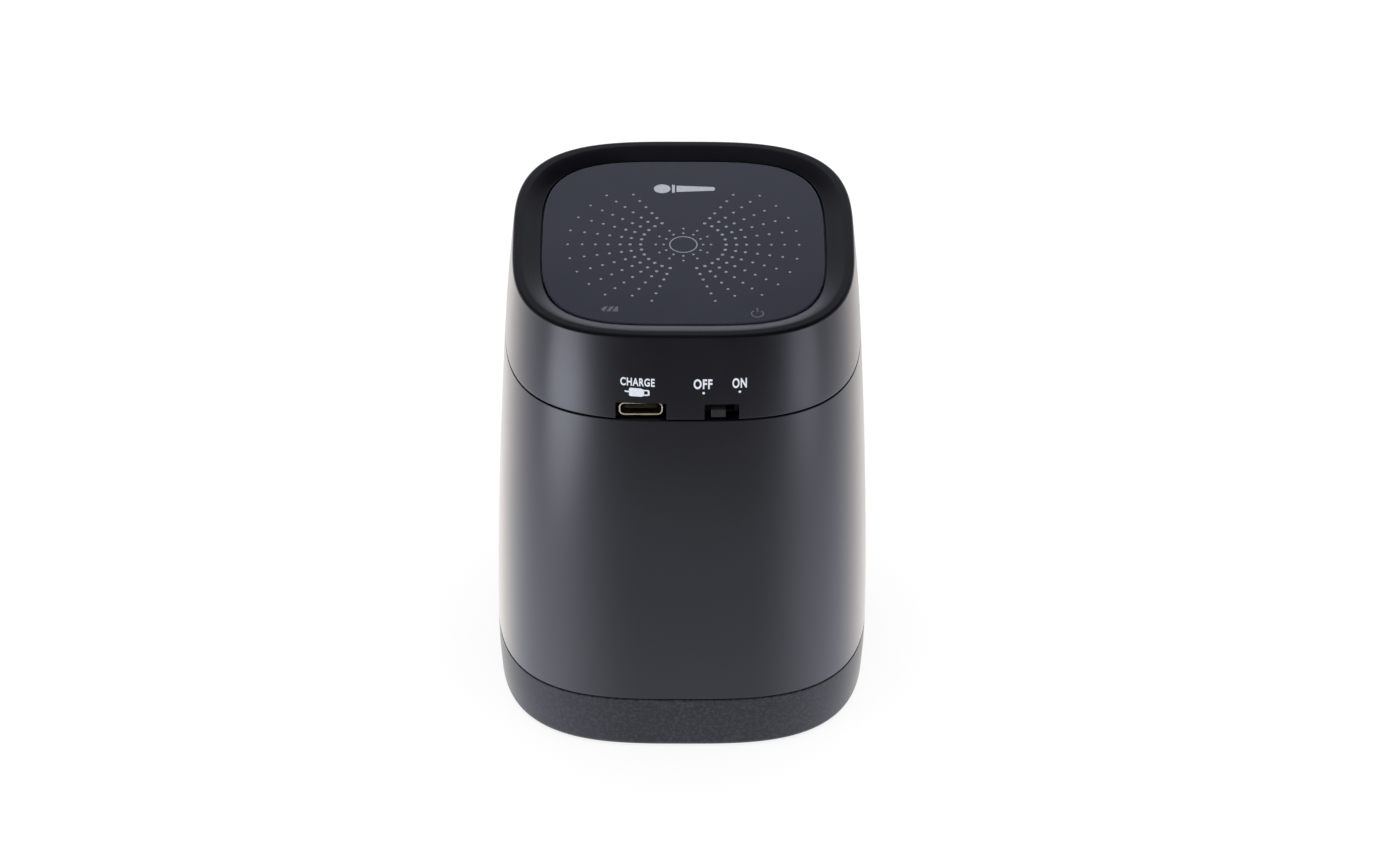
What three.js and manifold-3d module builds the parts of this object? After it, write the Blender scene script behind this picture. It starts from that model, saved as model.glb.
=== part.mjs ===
// A UV microphone sanitizer: a battery powered cap that a handheld microphone's head is pushed into
// from below.
// Lengths are in millimetres. Z is up, the front with the charge inlet and the switch faces -Y,
// and the origin is the middle of the flat bottom.
import * as THREE from "three";
import { mergeVertices } from "three/addons/utils/BufferGeometryUtils.js";
import Module from "manifold-3d";

const wasm = await Module();
wasm.setup();

// Clearances that every fit shares
const seatGap = 0.3; // between a piece and the one that it rests in or on
const solderGap = 0.15; // between a soldered component and its board
const threadGap = 0.2; // round a screw's shank
const cutOverrun = 1; // how far a cut runs past the face that it opens

// Chamber: the liner, its carrier and the lamps round it
const chamberRadius = 29;
const linerWall = 0.8;
const linerStraight = 43.8;
const ceilingPortRadius = 8;
const carrierWall = 1.6;
const padDepth = 2.3; // how far a lamp pad stands out from the carrier's tube
const padWidth = 16;
const padHeight = 22;
const lampPortRadius = 3.6;
const lampHeightShare = 0.725; // of the liner's straight height
const windowRadius = 4.6;
const windowThickness = 0.8;
const windowLedge = 0.8;
const lampSize = 3.5;
const lampThickness = 1.1;
const lampLensShare = 0.36; // of the lamp's size
const lampBoardWidth = 14;
const lampBoardHeight = 18;
const lampBoardThickness = 1.2;
const stakeRadius = 0.8;
const stakePlaceShare = 0.38; // of the lamp board's height
const archWidth = 14;
const archHeight = 17;
const harnessRadius = 0.6;
const wiringSpace = 1.96;

// Mouth: the base ring and the soft seal round the microphone
const baseRingThickness = 2.4;
const mouthRingInset = 1; // how far the base ring's opening stands in from the chamber's wall
const sealFlange = 0.8;
const sealGrip = 1.8; // how far the seal's flanges reach over the base ring
const sealBodyWall = 1.5;
const lipReach = 2.2;
const lipRise = 2.4;
const lipThickness = 0.9;

// Housing walls and outline
const bodyWall = 2;
const headWall = 2;
const outlinePower = 3.17; // a higher power is squarer
const roundPower = 2; // a circle
const taperShare = 0.098; // how much narrower the top is than the belt
const taperPower = 1.65;
const headLean = 0.49; // how much more the head leans in
const leanPower = 1.5;
const headSquaring = 0.12; // how much the outline's power rises towards the rim
const seamWidth = 0.3;
const columnRadius = 2.9;
const columnRib = 1.6;

// Rubber boot
const bootHeight = 13.4;
const bootWall = 2.2;
const bootFloor = 2.2;
const bootFloorGap = 1.06; // from the mouth seal's flange to the round opening of the boot's floor
const bootTuck = 0.5;
const bootBellyShare = 0.75; // of the tuck, what the wall has regained halfway up
const bootEdge = 1.6;

// Head: rim, panel and what lies under it
const headHeight = 19.7;
const rimWidth = 5.66;
const rimLandShare = 0.34; // of the rim's width, the flat outer part
const rimEdge = 0.6;
const rimSlopeStart = 0.1; // how far below the panel's face the rim's slope starts
const panelDrop = 1.2;
const panelThickness = 1.5;
const panelPower = 3.7;
const panelGap = 0.35;
const panelEdge = 0.25;
const tapeThickness = 0.3;
const tapeWidth = 1.3;
const recessFloor = 1.8;
const recessWall = 1.76;
const lipDepth = 2.4;
const lipWall = 1.2;
const lipSpan = 20;
const lightWindowShare = 0.739; // of the panel's half-width
const iconWindowShares = [0.636, 0.932]; // half-width and reach to the front, of the panel's half-width
const lightGuideThickness = 1.6;
const touchBoardThickness = 1.2;
// Half-width, reach back and reach forward, of the panel's half-width
const touchBoardShares = [0.763, 0.86, 0.973];
const touchStakeShares = [0.66, 0.77, 0.89]; // sideways, back and forward, of the panel's half-width

// Charge inlet and slide switch
const inletX = -8.6;
const inletWidth = 8.94;
const inletHeight = 3.16;
const inletCorner = 1.2;
const inletLength = 7.3;
const inletWall = 0.3;
const inletRecess = 1;
const inletStandoff = 0.3;
const inletNotchGap = 0.68;
const inletNotchHeight = 4;
const tongueWidth = 6.69;
const tongueThickness = 0.7;
const tongueLength = 5;
const tongueRootLength = 1.8;
const tongueGap = 0.15;
const tongueEdge = 0.2;
const inletFootWidth = 1.2;
const switchX = 8.1;
const switchTravel = 2;
const knobWidth = 3;
const knobHeight = 2;
const knobDepth = 2.2;
const knobEdge = 0.2;
const knobStem = 1.8;
const switchCaseWidth = 9;
const switchCaseDepth = 3;
const switchCaseHeight = 2.2;
const switchCaseWall = 0.35;
const switchCaseInset = 0.75;
const switchNotchWidth = 7;
const switchNotchHeight = 3.8;

// Boards, battery and the chassis that carries them
const chassisThickness = 1.8;
const chassisRibDepth = 2.2;
const chassisRibWidth = 1.2;
const chassisRibs = 8;
const chassisInset = 0.65;
const wireNotchWidth = 4;
const hubWall = 3.3;
const ceilingWindowThickness = 0.9;
const ceilingLampRing = 5;
const ceilingBoardRadius = 12.5;
const ceilingBoardThickness = 1;
const boardPost = 1.4;
const mainBoardThickness = 1.2;
const mainBoardGap = 0.4;
const boardSink = 0.2; // how far the seam lies below the main board's top
const boardScrewShares = [0.545, 0.818]; // sideways and forward, of the main board's half-width
const trayClearance = 4.3;
const trayFloor = 1.2;
const trayWall = 1.2;
const trayWallHeight = 5;
const trayLegRadius = 3;
const traySeatShare = 0.35; // of the leg's height, from the board up to the screw's seat
const batteryWidthShare = 1.212; // of the main board's half-width
const batteryDepthShare = 1;
const batteryHeadroom = 1.3;
const batteryEdge = 1;
const batteryCorner = 1.5;
const batteryLeadRadius = 0.9;
const buzzerRadius = 4.5;
const buzzerHeight = 3;
const buzzerPort = 1;
const buzzerShares = [-0.42, 0.42]; // of the main board's half-width
// Components on the main board: centre x and y, width and depth, of its half-width,
// and height, of the clear height over it
const batteryPlugShares = [0.3, 0.36, 0.26, 0.16, 0.5];
const componentShares = [
  [0.02, -0.36, 0.22, 0.22, 0.28],
  [-0.34, -0.3, 0.18, 0.18, 0.62],
  [0.34, -0.28, 0.16, 0.2, 0.4],
  batteryPlugShares,
];

// Screws
const screwShank = 1.1;
const screwHead = 2.1;
const screwHeadHeight = 1.3;
const sinkHead = 2.4;
const sinkHeadHeight = 1.3;
const screwLength = 10;
const boardScrewLength = 6;
const headScrewLength = 16;
const headScrewShares = [0.866, 0.5435]; // sideways and forward, of the panel recess's half-width
const bossWall = 1.7;

// Facets
const outlineSteps = 48;
const hiddenSteps = 32;
const wallSteps = 4;
const roundSteps = 28;
const tubeSteps = 24;
const discSteps = 12;
const smallSteps = 8;
const edgeSteps = 3;
const domeSteps = 5;
const cornerSteps = 2;
const inletSteps = 4;
const wireSides = 5;

// Places that follow from the sizes, from the axis outwards
const linerOuter = chamberRadius + linerWall;
const carrierInner = linerOuter + seatGap;
const carrierOuter = carrierInner + carrierWall;
const padFace = carrierOuter + padDepth;
const lampBoardInner = padFace + seatGap;
const bodyHalf = lampBoardInner + lampBoardThickness + wiringSpace + bodyWall;
const mouthRingRadius = chamberRadius - mouthRingInset;
const bootFloorRadius = mouthRingRadius + sealGrip + bootFloorGap;
const columnPlace = (carrierOuter + seatGap + columnRadius) * Math.SQRT1_2;

// Places that follow from the sizes, from the bottom up
const sleeveBottom = bootFloor + seatGap;
const baseRingTop = sleeveBottom + baseRingThickness;
const sealTop = baseRingTop + seatGap + sealFlange;
const linerBottom = sealTop + seatGap;
const domeCentre = linerBottom + linerStraight;
const hubBottom = domeCentre + Math.sqrt(linerOuter ** 2 - ceilingPortRadius ** 2) + seatGap;
const ceilingWindowBottom = hubBottom + windowLedge + threadGap;
const ceilingLampBottom = ceilingWindowBottom + ceilingWindowThickness + seatGap;
const chassisTop = ceilingLampBottom + lampThickness;
const chassisBottom = chassisTop - chassisThickness;
const mainBoardBottom = chassisTop + boardPost + seatGap;
const mainBoardTop = mainBoardBottom + mainBoardThickness;
const seamHeight = mainBoardTop - boardSink;
const overallHeight = seamHeight + headHeight;
const panelTop = overallHeight - panelDrop;
const panelBottom = panelTop - panelThickness;
const recessTop = panelBottom - tapeThickness;
const recessBottom = recessTop - recessFloor;
const touchBoardTop = recessBottom - seatGap;
const touchBoardBottom = touchBoardTop - touchBoardThickness;
const lampHeight = linerBottom + linerStraight * lampHeightShare;
const carrierTop = chassisBottom - seatGap;

// The housing's half-width at a height, which bellies out to the belt line above the boot
const halfAt = (z) => {
  const up = Math.max(0, (z - bootHeight) / (overallHeight - bootHeight));
  const lean = Math.max(0, (z - seamHeight) / headHeight);
  return bodyHalf * (1 - taperShare * up ** taperPower) - headLean * lean ** leanPower;
};

const topPower = outlinePower + headSquaring;
const topHalf = halfAt(overallHeight);
const recessHalf = topHalf - rimWidth;
const panelHalf = recessHalf - panelGap;
const sleeveInnerAt = (z) => halfAt(z) - bodyWall;
const headInnerAt = (z) => halfAt(z) - headWall;
const skirtOuter = bodyHalf - bootWall - seatGap / 2;
const skirtInner = skirtOuter - bodyWall + seatGap;
const mainBoardHalf = sleeveInnerAt(seamHeight) - seatGap - lipWall - mainBoardGap;
const chassisHalf = sleeveInnerAt(chassisTop) - chassisInset;

const finish = (color, roughness, metalness = 0) =>
  new THREE.MeshStandardMaterial({ color, roughness, metalness });
const finishes = {
  satinShell: finish(0x2b2c30, 0.4),
  glossPanel: finish(0x30323a, 0.08),
  bootRubber: finish(0x3a3e48, 0.85),
  softSilicone: finish(0x4a4b50, 0.7),
  innerPlastic: finish(0x1c1d20, 0.6),
  diffuser: finish(0xe6e8ea, 0.5),
  tapeFoam: finish(0x141416, 0.95),
  board: finish(0x1e4a33, 0.45),
  lampBoard: finish(0xd8dadc, 0.5),
  lamp: finish(0xe9e2c8, 0.3),
  quartz: finish(0xdfe8ee, 0.05),
  brightLiner: finish(0xd3d6da, 0.15, 1),
  stampedSteel: finish(0xc8c3b8, 0.3, 1),
  screwSteel: finish(0x8d9095, 0.35, 1),
  cellFoil: finish(0xb4b8bc, 0.4, 1),
  wireJacket: finish(0x9a1f1c, 0.6),
};

// A closed three.js geometry as a solid that can be joined and cut
function solidFrom(geometry) {
  const bare = geometry.index ? geometry.toNonIndexed() : geometry.clone();
  bare.deleteAttribute("normal");
  bare.deleteAttribute("uv");
  const merged = mergeVertices(bare);
  const corners = merged.index.array;
  const kept = [];
  for (let i = 0; i < corners.length; i += 3) {
    const [a, b, c] = corners.slice(i, i + 3);
    if (a !== b && b !== c && c !== a) kept.push(a, b, c);
  }
  const vertProperties = merged.attributes.position.array;
  return new wasm.Manifold(new wasm.Mesh({ numProp: 3, vertProperties, triVerts: new Uint32Array(kept) }));
}

function geometryFrom(solid) {
  const { vertProperties, triVerts } = solid.getMesh();
  const geometry = new THREE.BufferGeometry();
  geometry.setAttribute("position", new THREE.BufferAttribute(vertProperties, 3));
  geometry.setIndex(new THREE.BufferAttribute(triVerts, 1));
  geometry.computeVertexNormals();
  return geometry;
}

const joined = (solids) => solids.reduce((whole, next) => whole.add(next));
const without = (solid, cuts) => cuts.reduce((rest, cut) => rest.subtract(cut), solid);

const flatPoints = (profile) => profile.map(([radius, height]) => new THREE.Vector2(radius, height));

// A profile of [radius, height] points, closed and in the order that turns its surface outwards
function closedProfile(profile) {
  const closed = [...profile, profile[0]];
  return THREE.ShapeUtils.area(flatPoints(closed)) < 0 ? closed.reverse() : closed;
}

// A profile turned round the Z axis
const spun = (profile, steps = roundSteps) =>
  new THREE.LatheGeometry(flatPoints(closedProfile(profile)), steps).rotateX(Math.PI / 2);

const revolved = (profile, steps) => solidFrom(spun(profile, steps));

// A profile of [half-width, height, power] points, carried round |x|^power + |y|^power = half^power
function squircled(profile, basePower = outlinePower, steps = outlineSteps) {
  const geometry = spun(profile, steps);
  const places = geometry.attributes.position;
  const powers = closedProfile(profile).map(([, , power = basePower]) => power);
  for (let i = 0; i < places.count; i += 1) {
    const [x, y] = [places.getX(i), places.getY(i)];
    const half = Math.hypot(x, y);
    const stretch = 2 / powers[i % powers.length];
    const squared = (share) => Math.sign(share) * Math.abs(share) ** stretch * half;
    if (half > 0) places.setXY(i, squared(x / half), squared(y / half));
  }
  return solidFrom(geometry);
}

const squirclePlate = (half, bottom, top, power, steps = hiddenSteps) =>
  squircled(
    [
      [0, bottom],
      [half, bottom],
      [half, top],
      [0, top],
    ],
    power,
    steps,
  );

const block = (low, high) => {
  const size = high.map((value, axis) => value - low[axis]);
  const middle = high.map((value, axis) => (value + low[axis]) / 2);
  return solidFrom(new THREE.BoxGeometry(...size).translate(...middle));
};

const post = (radius, bottom, top, [x, y] = [0, 0], steps = smallSteps) =>
  solidFrom(
    new THREE.CylinderGeometry(radius, radius, top - bottom, steps)
      .rotateX(Math.PI / 2)
      .translate(x, y, (top + bottom) / 2),
  );

// A rod that lies along the Y axis
const rod = (radius, front, back, [x, z], steps = smallSteps) =>
  solidFrom(
    new THREE.CylinderGeometry(radius, radius, back - front, steps).translate(x, (front + back) / 2, z),
  );

const fourCorners = (x, y) => [
  [x, -y],
  [x, y],
  [-x, y],
  [-x, -y],
];

const roundedOutline = (width, height, radius) => {
  const [x, y] = [width / 2 - radius, height / 2 - radius];
  const outline = new THREE.Shape();
  outline.absarc(x, y, radius, 0, Math.PI / 2);
  outline.absarc(-x, y, radius, Math.PI / 2, Math.PI);
  outline.absarc(-x, -y, radius, Math.PI, Math.PI * 1.5);
  outline.absarc(x, -y, radius, Math.PI * 1.5, Math.PI * 2);
  return outline;
};

const slab = (outline, bottom, top, bevel = 0) =>
  solidFrom(
    new THREE.ExtrudeGeometry(outline, {
      depth: top - bottom - 2 * bevel,
      bevelEnabled: bevel > 0,
      bevelThickness: bevel,
      bevelSize: bevel,
      bevelOffset: -bevel,
      bevelSegments: 1,
      curveSegments: cornerSteps,
    }).translate(0, 0, bottom + bevel),
  );

// An outline in X and Z, pushed back along Y from its front face
const pushedBack = (outline, front, depth, [x, z], curveSegments = inletSteps) =>
  solidFrom(
    new THREE.ExtrudeGeometry(outline, { depth, bevelEnabled: false, curveSegments })
      .rotateX(Math.PI / 2)
      .translate(x, front + depth, z),
  );

const tubeAlong = (points, radius) => {
  const path = new THREE.CatmullRomCurve3(points.map((point) => new THREE.Vector3(...point)));
  const round = new THREE.EllipseCurve(0, 0, radius, radius).getPoints(wireSides);
  const section = new THREE.Shape(round.slice(0, wireSides));
  const geometry = new THREE.ExtrudeGeometry(section, { steps: 2 * (points.length - 1), extrudePath: path });
  return solidFrom(geometry);
};

const sanitizer = new THREE.Group();

function addPiece(name, solid, material, parent = sanitizer) {
  const mesh = new THREE.Mesh(geometryFrom(solid), material);
  mesh.name = name;
  parent.add(mesh);
  return mesh;
}

const heightsBetween = (low, high, steps) =>
  Array.from({ length: steps + 1 }, (_, step) => low + ((high - low) * step) / steps);

// Screws hang from their head: the seat is where the head's underside lies
const panScrew = (seat, length = screwLength) =>
  revolved(
    [
      [0, seat - length],
      [screwShank, seat - length],
      [screwShank, seat],
      [screwHead, seat],
      [screwHead / 2, seat + screwHeadHeight],
      [0, seat + screwHeadHeight],
    ],
    smallSteps,
  );

const sunkScrew = (face) =>
  revolved(
    [
      [0, face],
      [sinkHead, face],
      [screwShank, face + sinkHeadHeight],
      [screwShank, face + screwLength],
      [0, face + screwLength],
    ],
    smallSteps,
  );

// Housing

function bodySleeve() {
  const top = seamHeight - seamWidth / 2;
  const shoulder = bootHeight + seamWidth / 2;
  const outer = heightsBetween(shoulder, top, wallSteps).map((z) => [halfAt(z), z]);
  const inner = heightsBetween(top, shoulder + bodyWall, wallSteps / 2).map((z) => [sleeveInnerAt(z), z]);
  const shell = squircled([
    [skirtInner, sleeveBottom],
    [skirtOuter, sleeveBottom],
    [skirtOuter, shoulder],
    ...outer,
    ...inner,
    [skirtInner, shoulder - bodyWall],
  ]);
  const midWall = squircled([
    [0, sleeveBottom],
    [(skirtInner + skirtOuter) / 2, sleeveBottom],
    [(skirtInner + skirtOuter) / 2, shoulder],
    [halfAt(top) - bodyWall / 2, top],
    [0, top],
  ]);
  const columnBottom = baseRingTop + seatGap;
  const columns = fourCorners(columnPlace, columnPlace).map(([x, y]) => {
    const rib = new THREE.BoxGeometry(bodyHalf, columnRib, carrierTop - columnBottom)
      .translate(bodyHalf / 2, 0, 0)
      .rotateZ(Math.atan2(y, x))
      .translate(x, y, (carrierTop + columnBottom) / 2);
    const column = post(columnRadius, columnBottom, carrierTop, [x, y]);
    return column.add(solidFrom(rib).intersect(midWall));
  });
  const pilots = fourCorners(columnPlace, columnPlace).flatMap((place) => [
    post(screwShank + threadGap, columnBottom - cutOverrun, columnBottom + screwLength, place),
    post(screwShank + threadGap, carrierTop - screwLength, carrierTop + cutOverrun, place),
  ]);
  return without(joined([shell, ...columns]), pilots);
}

function headCover() {
  const bottom = seamHeight + seamWidth / 2;
  const edgeTop = overallHeight - rimEdge;
  const squaringAt = (z) => (headSquaring * (z - bottom)) / (edgeTop - bottom);
  const wall = heightsBetween(bottom, edgeTop, wallSteps / 2).map((z) => [
    halfAt(z),
    z,
    outlinePower + squaringAt(z),
  ]);
  const edge = heightsBetween(1, edgeSteps, edgeSteps - 1).map((step) => {
    const turn = (step / edgeSteps) * (Math.PI / 2);
    const half = halfAt(edgeTop) - rimEdge * (1 - Math.cos(turn));
    return [half, edgeTop + rimEdge * Math.sin(turn), topPower];
  });
  const blank = squircled([[0, bottom], ...wall, ...edge, [0, overallHeight]]);

  const slopeEnd = topHalf - rimWidth * rimLandShare;
  const recess = squircled([
    [0, recessTop, panelPower],
    [recessHalf, recessTop, panelPower],
    [recessHalf, panelTop - rimSlopeStart, panelPower],
    [slopeEnd, overallHeight, topPower],
    [slopeEnd, overallHeight + cutOverrun, topPower],
    [0, overallHeight + cutOverrun],
  ]);

  const coreTop = overallHeight - panelDrop / 2 - headWall;
  const cavityWall = heightsBetween(bottom, recessBottom, 2).map((z) => [headInnerAt(z), z]);
  const cavityProfile = [
    [0, bottom - cutOverrun],
    [headInnerAt(bottom), bottom - cutOverrun],
    ...cavityWall,
    [headInnerAt(coreTop), coreTop],
    [recessHalf + recessWall, coreTop, panelPower],
    [recessHalf + recessWall, recessBottom, panelPower],
    [0, recessBottom],
  ];
  const cavity = squircled(cavityProfile, outlinePower, hiddenSteps);

  const bossRadius = screwShank + threadGap + bossWall;
  const bossBottom = (chassisTop + recessBottom) / 2 + seatGap / 2;
  const places = headScrewPlaces();
  const bosses = places.map((place) => post(bossRadius, bossBottom, recessBottom + recessFloor / 2, place));
  const screwHoles = places.flatMap((place) => [
    post(screwShank + threadGap, bossBottom - cutOverrun, recessTop + cutOverrun, place),
    post(screwHead + threadGap, headScrewSeat() - seatGap, recessTop + cutOverrun, place),
  ]);
  const stakes = touchStakePlaces().map((place) =>
    post(stakeRadius, touchBoardBottom - seatGap, recessBottom + recessFloor / 2, place),
  );

  const shell = joined([blank.subtract(recess).subtract(cavity), headLip(bottom), ...bosses, ...stakes]);
  const window = lightWindow(0, recessBottom - cutOverrun, recessTop + cutOverrun);
  return without(shell, [...screwHoles, window, ...notches()]);
}

// The lip under the head's edge, which drops inside the sleeve along the flat stretches of the wall
function headLip(bottom) {
  const outer = sleeveInnerAt(bottom) - seatGap;
  const rootTop = bottom + lipDepth;
  const profile = [
    [outer - lipWall, bottom - lipDepth],
    [outer, bottom - lipDepth],
    [outer, bottom],
    [headInnerAt(bottom) + headWall / 2, bottom + seatGap],
    [headInnerAt(rootTop) + headWall / 2, rootTop],
    [outer - lipWall, bottom + lipWall],
  ];
  const ring = squircled(profile, outlinePower, hiddenSteps);
  const reach = bodyHalf;
  const low = bottom - lipDepth - cutOverrun;
  const high = rootTop + cutOverrun;
  const half = lipSpan / 2;
  const stretches = [
    block([-reach, -half, low], [reach, half, high]),
    block([-half, 0, low], [half, reach, high]),
  ];
  return ring.intersect(joined(stretches));
}

const notchTop = (height) => seamHeight + height;

function notches() {
  const low = seamHeight - lipDepth - cutOverrun;
  const cut = (x, width, height) =>
    block([x - width / 2, -bodyHalf, low], [x + width / 2, -mainBoardHalf, notchTop(height)]);
  return [
    cut(inletX, inletWidth + 2 * inletNotchGap, inletNotchHeight),
    cut(switchX - seatGap, switchNotchWidth, switchNotchHeight),
  ];
}

const headScrewPlaces = () => fourCorners(recessHalf * headScrewShares[0], recessHalf * headScrewShares[1]);
const headScrewSeat = () => recessTop - screwHeadHeight - seatGap;

const touchStakePlaces = () => {
  const [side, back, front] = touchStakeShares.map((share) => share * panelHalf);
  return [
    [side, back],
    [-side, back],
    [side, -front],
    [-side, -front],
  ];
};

// The window in the recess floor that light comes up through, with its wider part under the two symbols
function lightWindow(inset, bottom, top) {
  const [half, reach] = iconWindowShares.map((share) => share * panelHalf - inset);
  const round = squirclePlate(lightWindowShare * panelHalf - inset, bottom, top, panelPower);
  return round.add(block([-half, -reach, bottom], [half, 0, top]));
}

function rubberBoot() {
  const top = bootHeight - seamWidth / 2;
  const tuckedHalf = bodyHalf - bootTuck;
  const corner = heightsBetween(0, edgeSteps, edgeSteps).map((step) => {
    const turn = (step / edgeSteps) * (Math.PI / 2);
    return [tuckedHalf - bootEdge * (1 - Math.sin(turn)), bootEdge * (1 - Math.cos(turn))];
  });
  const innerHalf = skirtOuter + seatGap / 2;
  return squircled([
    [bootFloorRadius, 0, roundPower],
    ...corner,
    [tuckedHalf + bootTuck * bootBellyShare, (top + bootEdge) / 2],
    [bodyHalf, top],
    [innerHalf, top],
    [innerHalf, bootFloor],
    [bootFloorRadius, bootFloor, roundPower],
  ]);
}

// Mouth

function baseRing() {
  const plate = squirclePlate(skirtInner - seatGap, sleeveBottom, baseRingTop);
  const [low, high] = [sleeveBottom - cutOverrun, baseRingTop + cutOverrun];
  const mouth = post(mouthRingRadius, low, high, [0, 0], roundSteps);
  const sink = [
    [0, low],
    [sinkHead + threadGap, low],
    [sinkHead + threadGap, sleeveBottom],
    [screwShank + threadGap, sleeveBottom + sinkHeadHeight],
    [screwShank + threadGap, high],
    [0, high],
  ];
  const sinks = fourCorners(columnPlace, columnPlace).map(([x, y]) =>
    revolved(sink, smallSteps).translate(x, y, 0),
  );
  return without(plate, [mouth, ...sinks]);
}

function mouthSeal() {
  const groove = mouthRingRadius - seatGap;
  const flange = mouthRingRadius + sealGrip;
  const bottom = sleeveBottom - seatGap - sealFlange;
  const bore = groove - sealBodyWall;
  const lipRoot = (bottom + sealTop) / 2;
  return revolved([
    [bore, bottom],
    [flange - sealFlange / 2, bottom],
    [flange, bottom + sealFlange / 2],
    [flange, sleeveBottom - seatGap],
    [groove, sleeveBottom - seatGap],
    [groove, baseRingTop + seatGap],
    [flange - seatGap, baseRingTop + seatGap],
    [flange - seatGap, sealTop],
    [bore, sealTop],
    [bore, lipRoot + lipThickness],
    [bore - lipReach, lipRoot + lipRise],
    [bore - lipReach, lipRoot + lipRise - lipThickness],
    [bore, lipRoot],
  ]);
}

// Chamber

// Builds something once for each of the four flat sides, in a group turned to face the axis from that side
function onEachSide(build) {
  for (let side = 0; side < 4; side += 1) {
    const turned = new THREE.Group();
    turned.rotation.z = (side * Math.PI) / 2;
    sanitizer.add(turned);
    build(turned, side + 1);
  }
}

const quarterTurns = (solid) => [0, 1, 2, 3].map((side) => solid.rotate([0, 0, side * 90]));

function chamberReflector() {
  const arc = (radius) => {
    const closing = Math.asin(ceilingPortRadius / radius);
    return heightsBetween(0, Math.PI / 2 - closing, domeSteps).map((rise) => [
      radius * Math.cos(rise),
      domeCentre + radius * Math.sin(rise),
    ]);
  };
  const shell = revolved([
    [chamberRadius, linerBottom],
    [linerOuter, linerBottom],
    ...arc(linerOuter),
    ...arc(chamberRadius).reverse(),
  ]);
  const port = rod(lampPortRadius, -carrierInner, -chamberRadius / 2, [0, lampHeight], discSteps);
  return without(shell, quarterTurns(port));
}

function chamberFrame() {
  const bottom = baseRingTop + seatGap;
  const profile = [
    [carrierInner, bottom],
    [carrierOuter, bottom],
    [carrierOuter, carrierTop],
    [carrierInner, carrierTop],
  ];
  const tube = revolved(profile, tubeSteps);
  const pad = block(
    [-padWidth / 2, -padFace, lampHeight - padHeight / 2],
    [padWidth / 2, -carrierInner - carrierWall / 2, lampHeight + padHeight / 2],
  );
  const stakeRise = lampBoardHeight * stakePlaceShare;
  const stakes = [lampHeight - stakeRise, lampHeight + stakeRise].map((z) =>
    rod(stakeRadius, -lampBoardInner - lampBoardThickness, -padFace + padDepth / 2, [0, z]),
  );
  const port = rod(lampPortRadius, -carrierOuter, -carrierInner / 2, [0, lampHeight], discSteps);
  const pocketBack = -carrierInner - windowLedge;
  const pocket = rod(windowRadius + threadGap, -padFace - cutOverrun, pocketBack, [0, lampHeight], discSteps);
  const archFoot = carrierTop - archHeight - archWidth / 2;
  const arch = block(
    [-archWidth / 2, -padFace, archFoot],
    [archWidth / 2, -carrierInner / 2, archFoot + archHeight],
  );
  return without(joined([tube, ...quarterTurns(joined([pad, ...stakes]))]), [
    ...quarterTurns(joined([port, pocket])),
    ...quarterTurns(arch),
  ]);
}

// A lamp that shines along +Z: a square package with a domed lens
function lamp() {
  const lens = lampSize * lampLensShare;
  const bodyTop = lampThickness / 2;
  const dome = heightsBetween(0, Math.PI / 2, cornerSteps).map((rise) => [
    lens * Math.cos(rise),
    bodyTop + (lampThickness - bodyTop) * Math.sin(rise),
  ]);
  const base = block([-lampSize / 2, -lampSize / 2, 0], [lampSize / 2, lampSize / 2, bodyTop]);
  return base.add(revolved([[0, bodyTop / 2], [lens, bodyTop / 2], ...dome], smallSteps));
}

function addSideLamps() {
  const stakeRise = lampBoardHeight * stakePlaceShare;
  const outline = roundedOutline(lampBoardWidth, lampBoardHeight, stakeRadius);
  const boardFront = -lampBoardInner - lampBoardThickness;
  const stakeHoles = [lampHeight - stakeRise, lampHeight + stakeRise].map((z) =>
    rod(stakeRadius + threadGap, boardFront - cutOverrun, -padFace, [0, z]),
  );
  const blank = pushedBack(outline, boardFront, lampBoardThickness, [0, lampHeight], cornerSteps);
  const board = without(blank, stakeHoles);
  const windowBack = -carrierInner - windowLedge - seatGap / 2;
  const window = rod(windowRadius, windowBack - windowThickness, windowBack, [0, lampHeight], discSteps);
  const shining = lamp()
    .rotate([-90, 0, 0])
    .translate(0, -lampBoardInner + solderGap, lampHeight);
  onEachSide((turned, number) => {
    addPiece(`side_led_board_${number}`, board, finishes.lampBoard, turned);
    addPiece(`side_led_${number}`, shining, finishes.lamp, turned);
    addPiece(`side_window_${number}`, window, finishes.quartz, turned);
  });
}

function addCeilingLamps() {
  const windowTop = ceilingWindowBottom + ceilingWindowThickness;
  const window = post(ceilingPortRadius + carrierWall, ceilingWindowBottom, windowTop);
  addPiece("ceiling_window", window, finishes.quartz);
  const boardBottom = chassisTop + solderGap;
  const boardTop = boardBottom + ceilingBoardThickness;
  const board = post(ceilingBoardRadius, boardBottom, boardTop, [0, 0], roundSteps / 2);
  addPiece("ceiling_led_board", board, finishes.lampBoard);
  for (let number = 1; number <= 3; number += 1) {
    const angle = (number * Math.PI * 2) / 3;
    const hanging = lamp()
      .rotate([180, 0, 0])
      .translate(ceilingLampRing * Math.cos(angle), ceilingLampRing * Math.sin(angle), chassisTop);
    addPiece(`ceiling_led_${number}`, hanging, finishes.lamp);
  }
}

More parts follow.
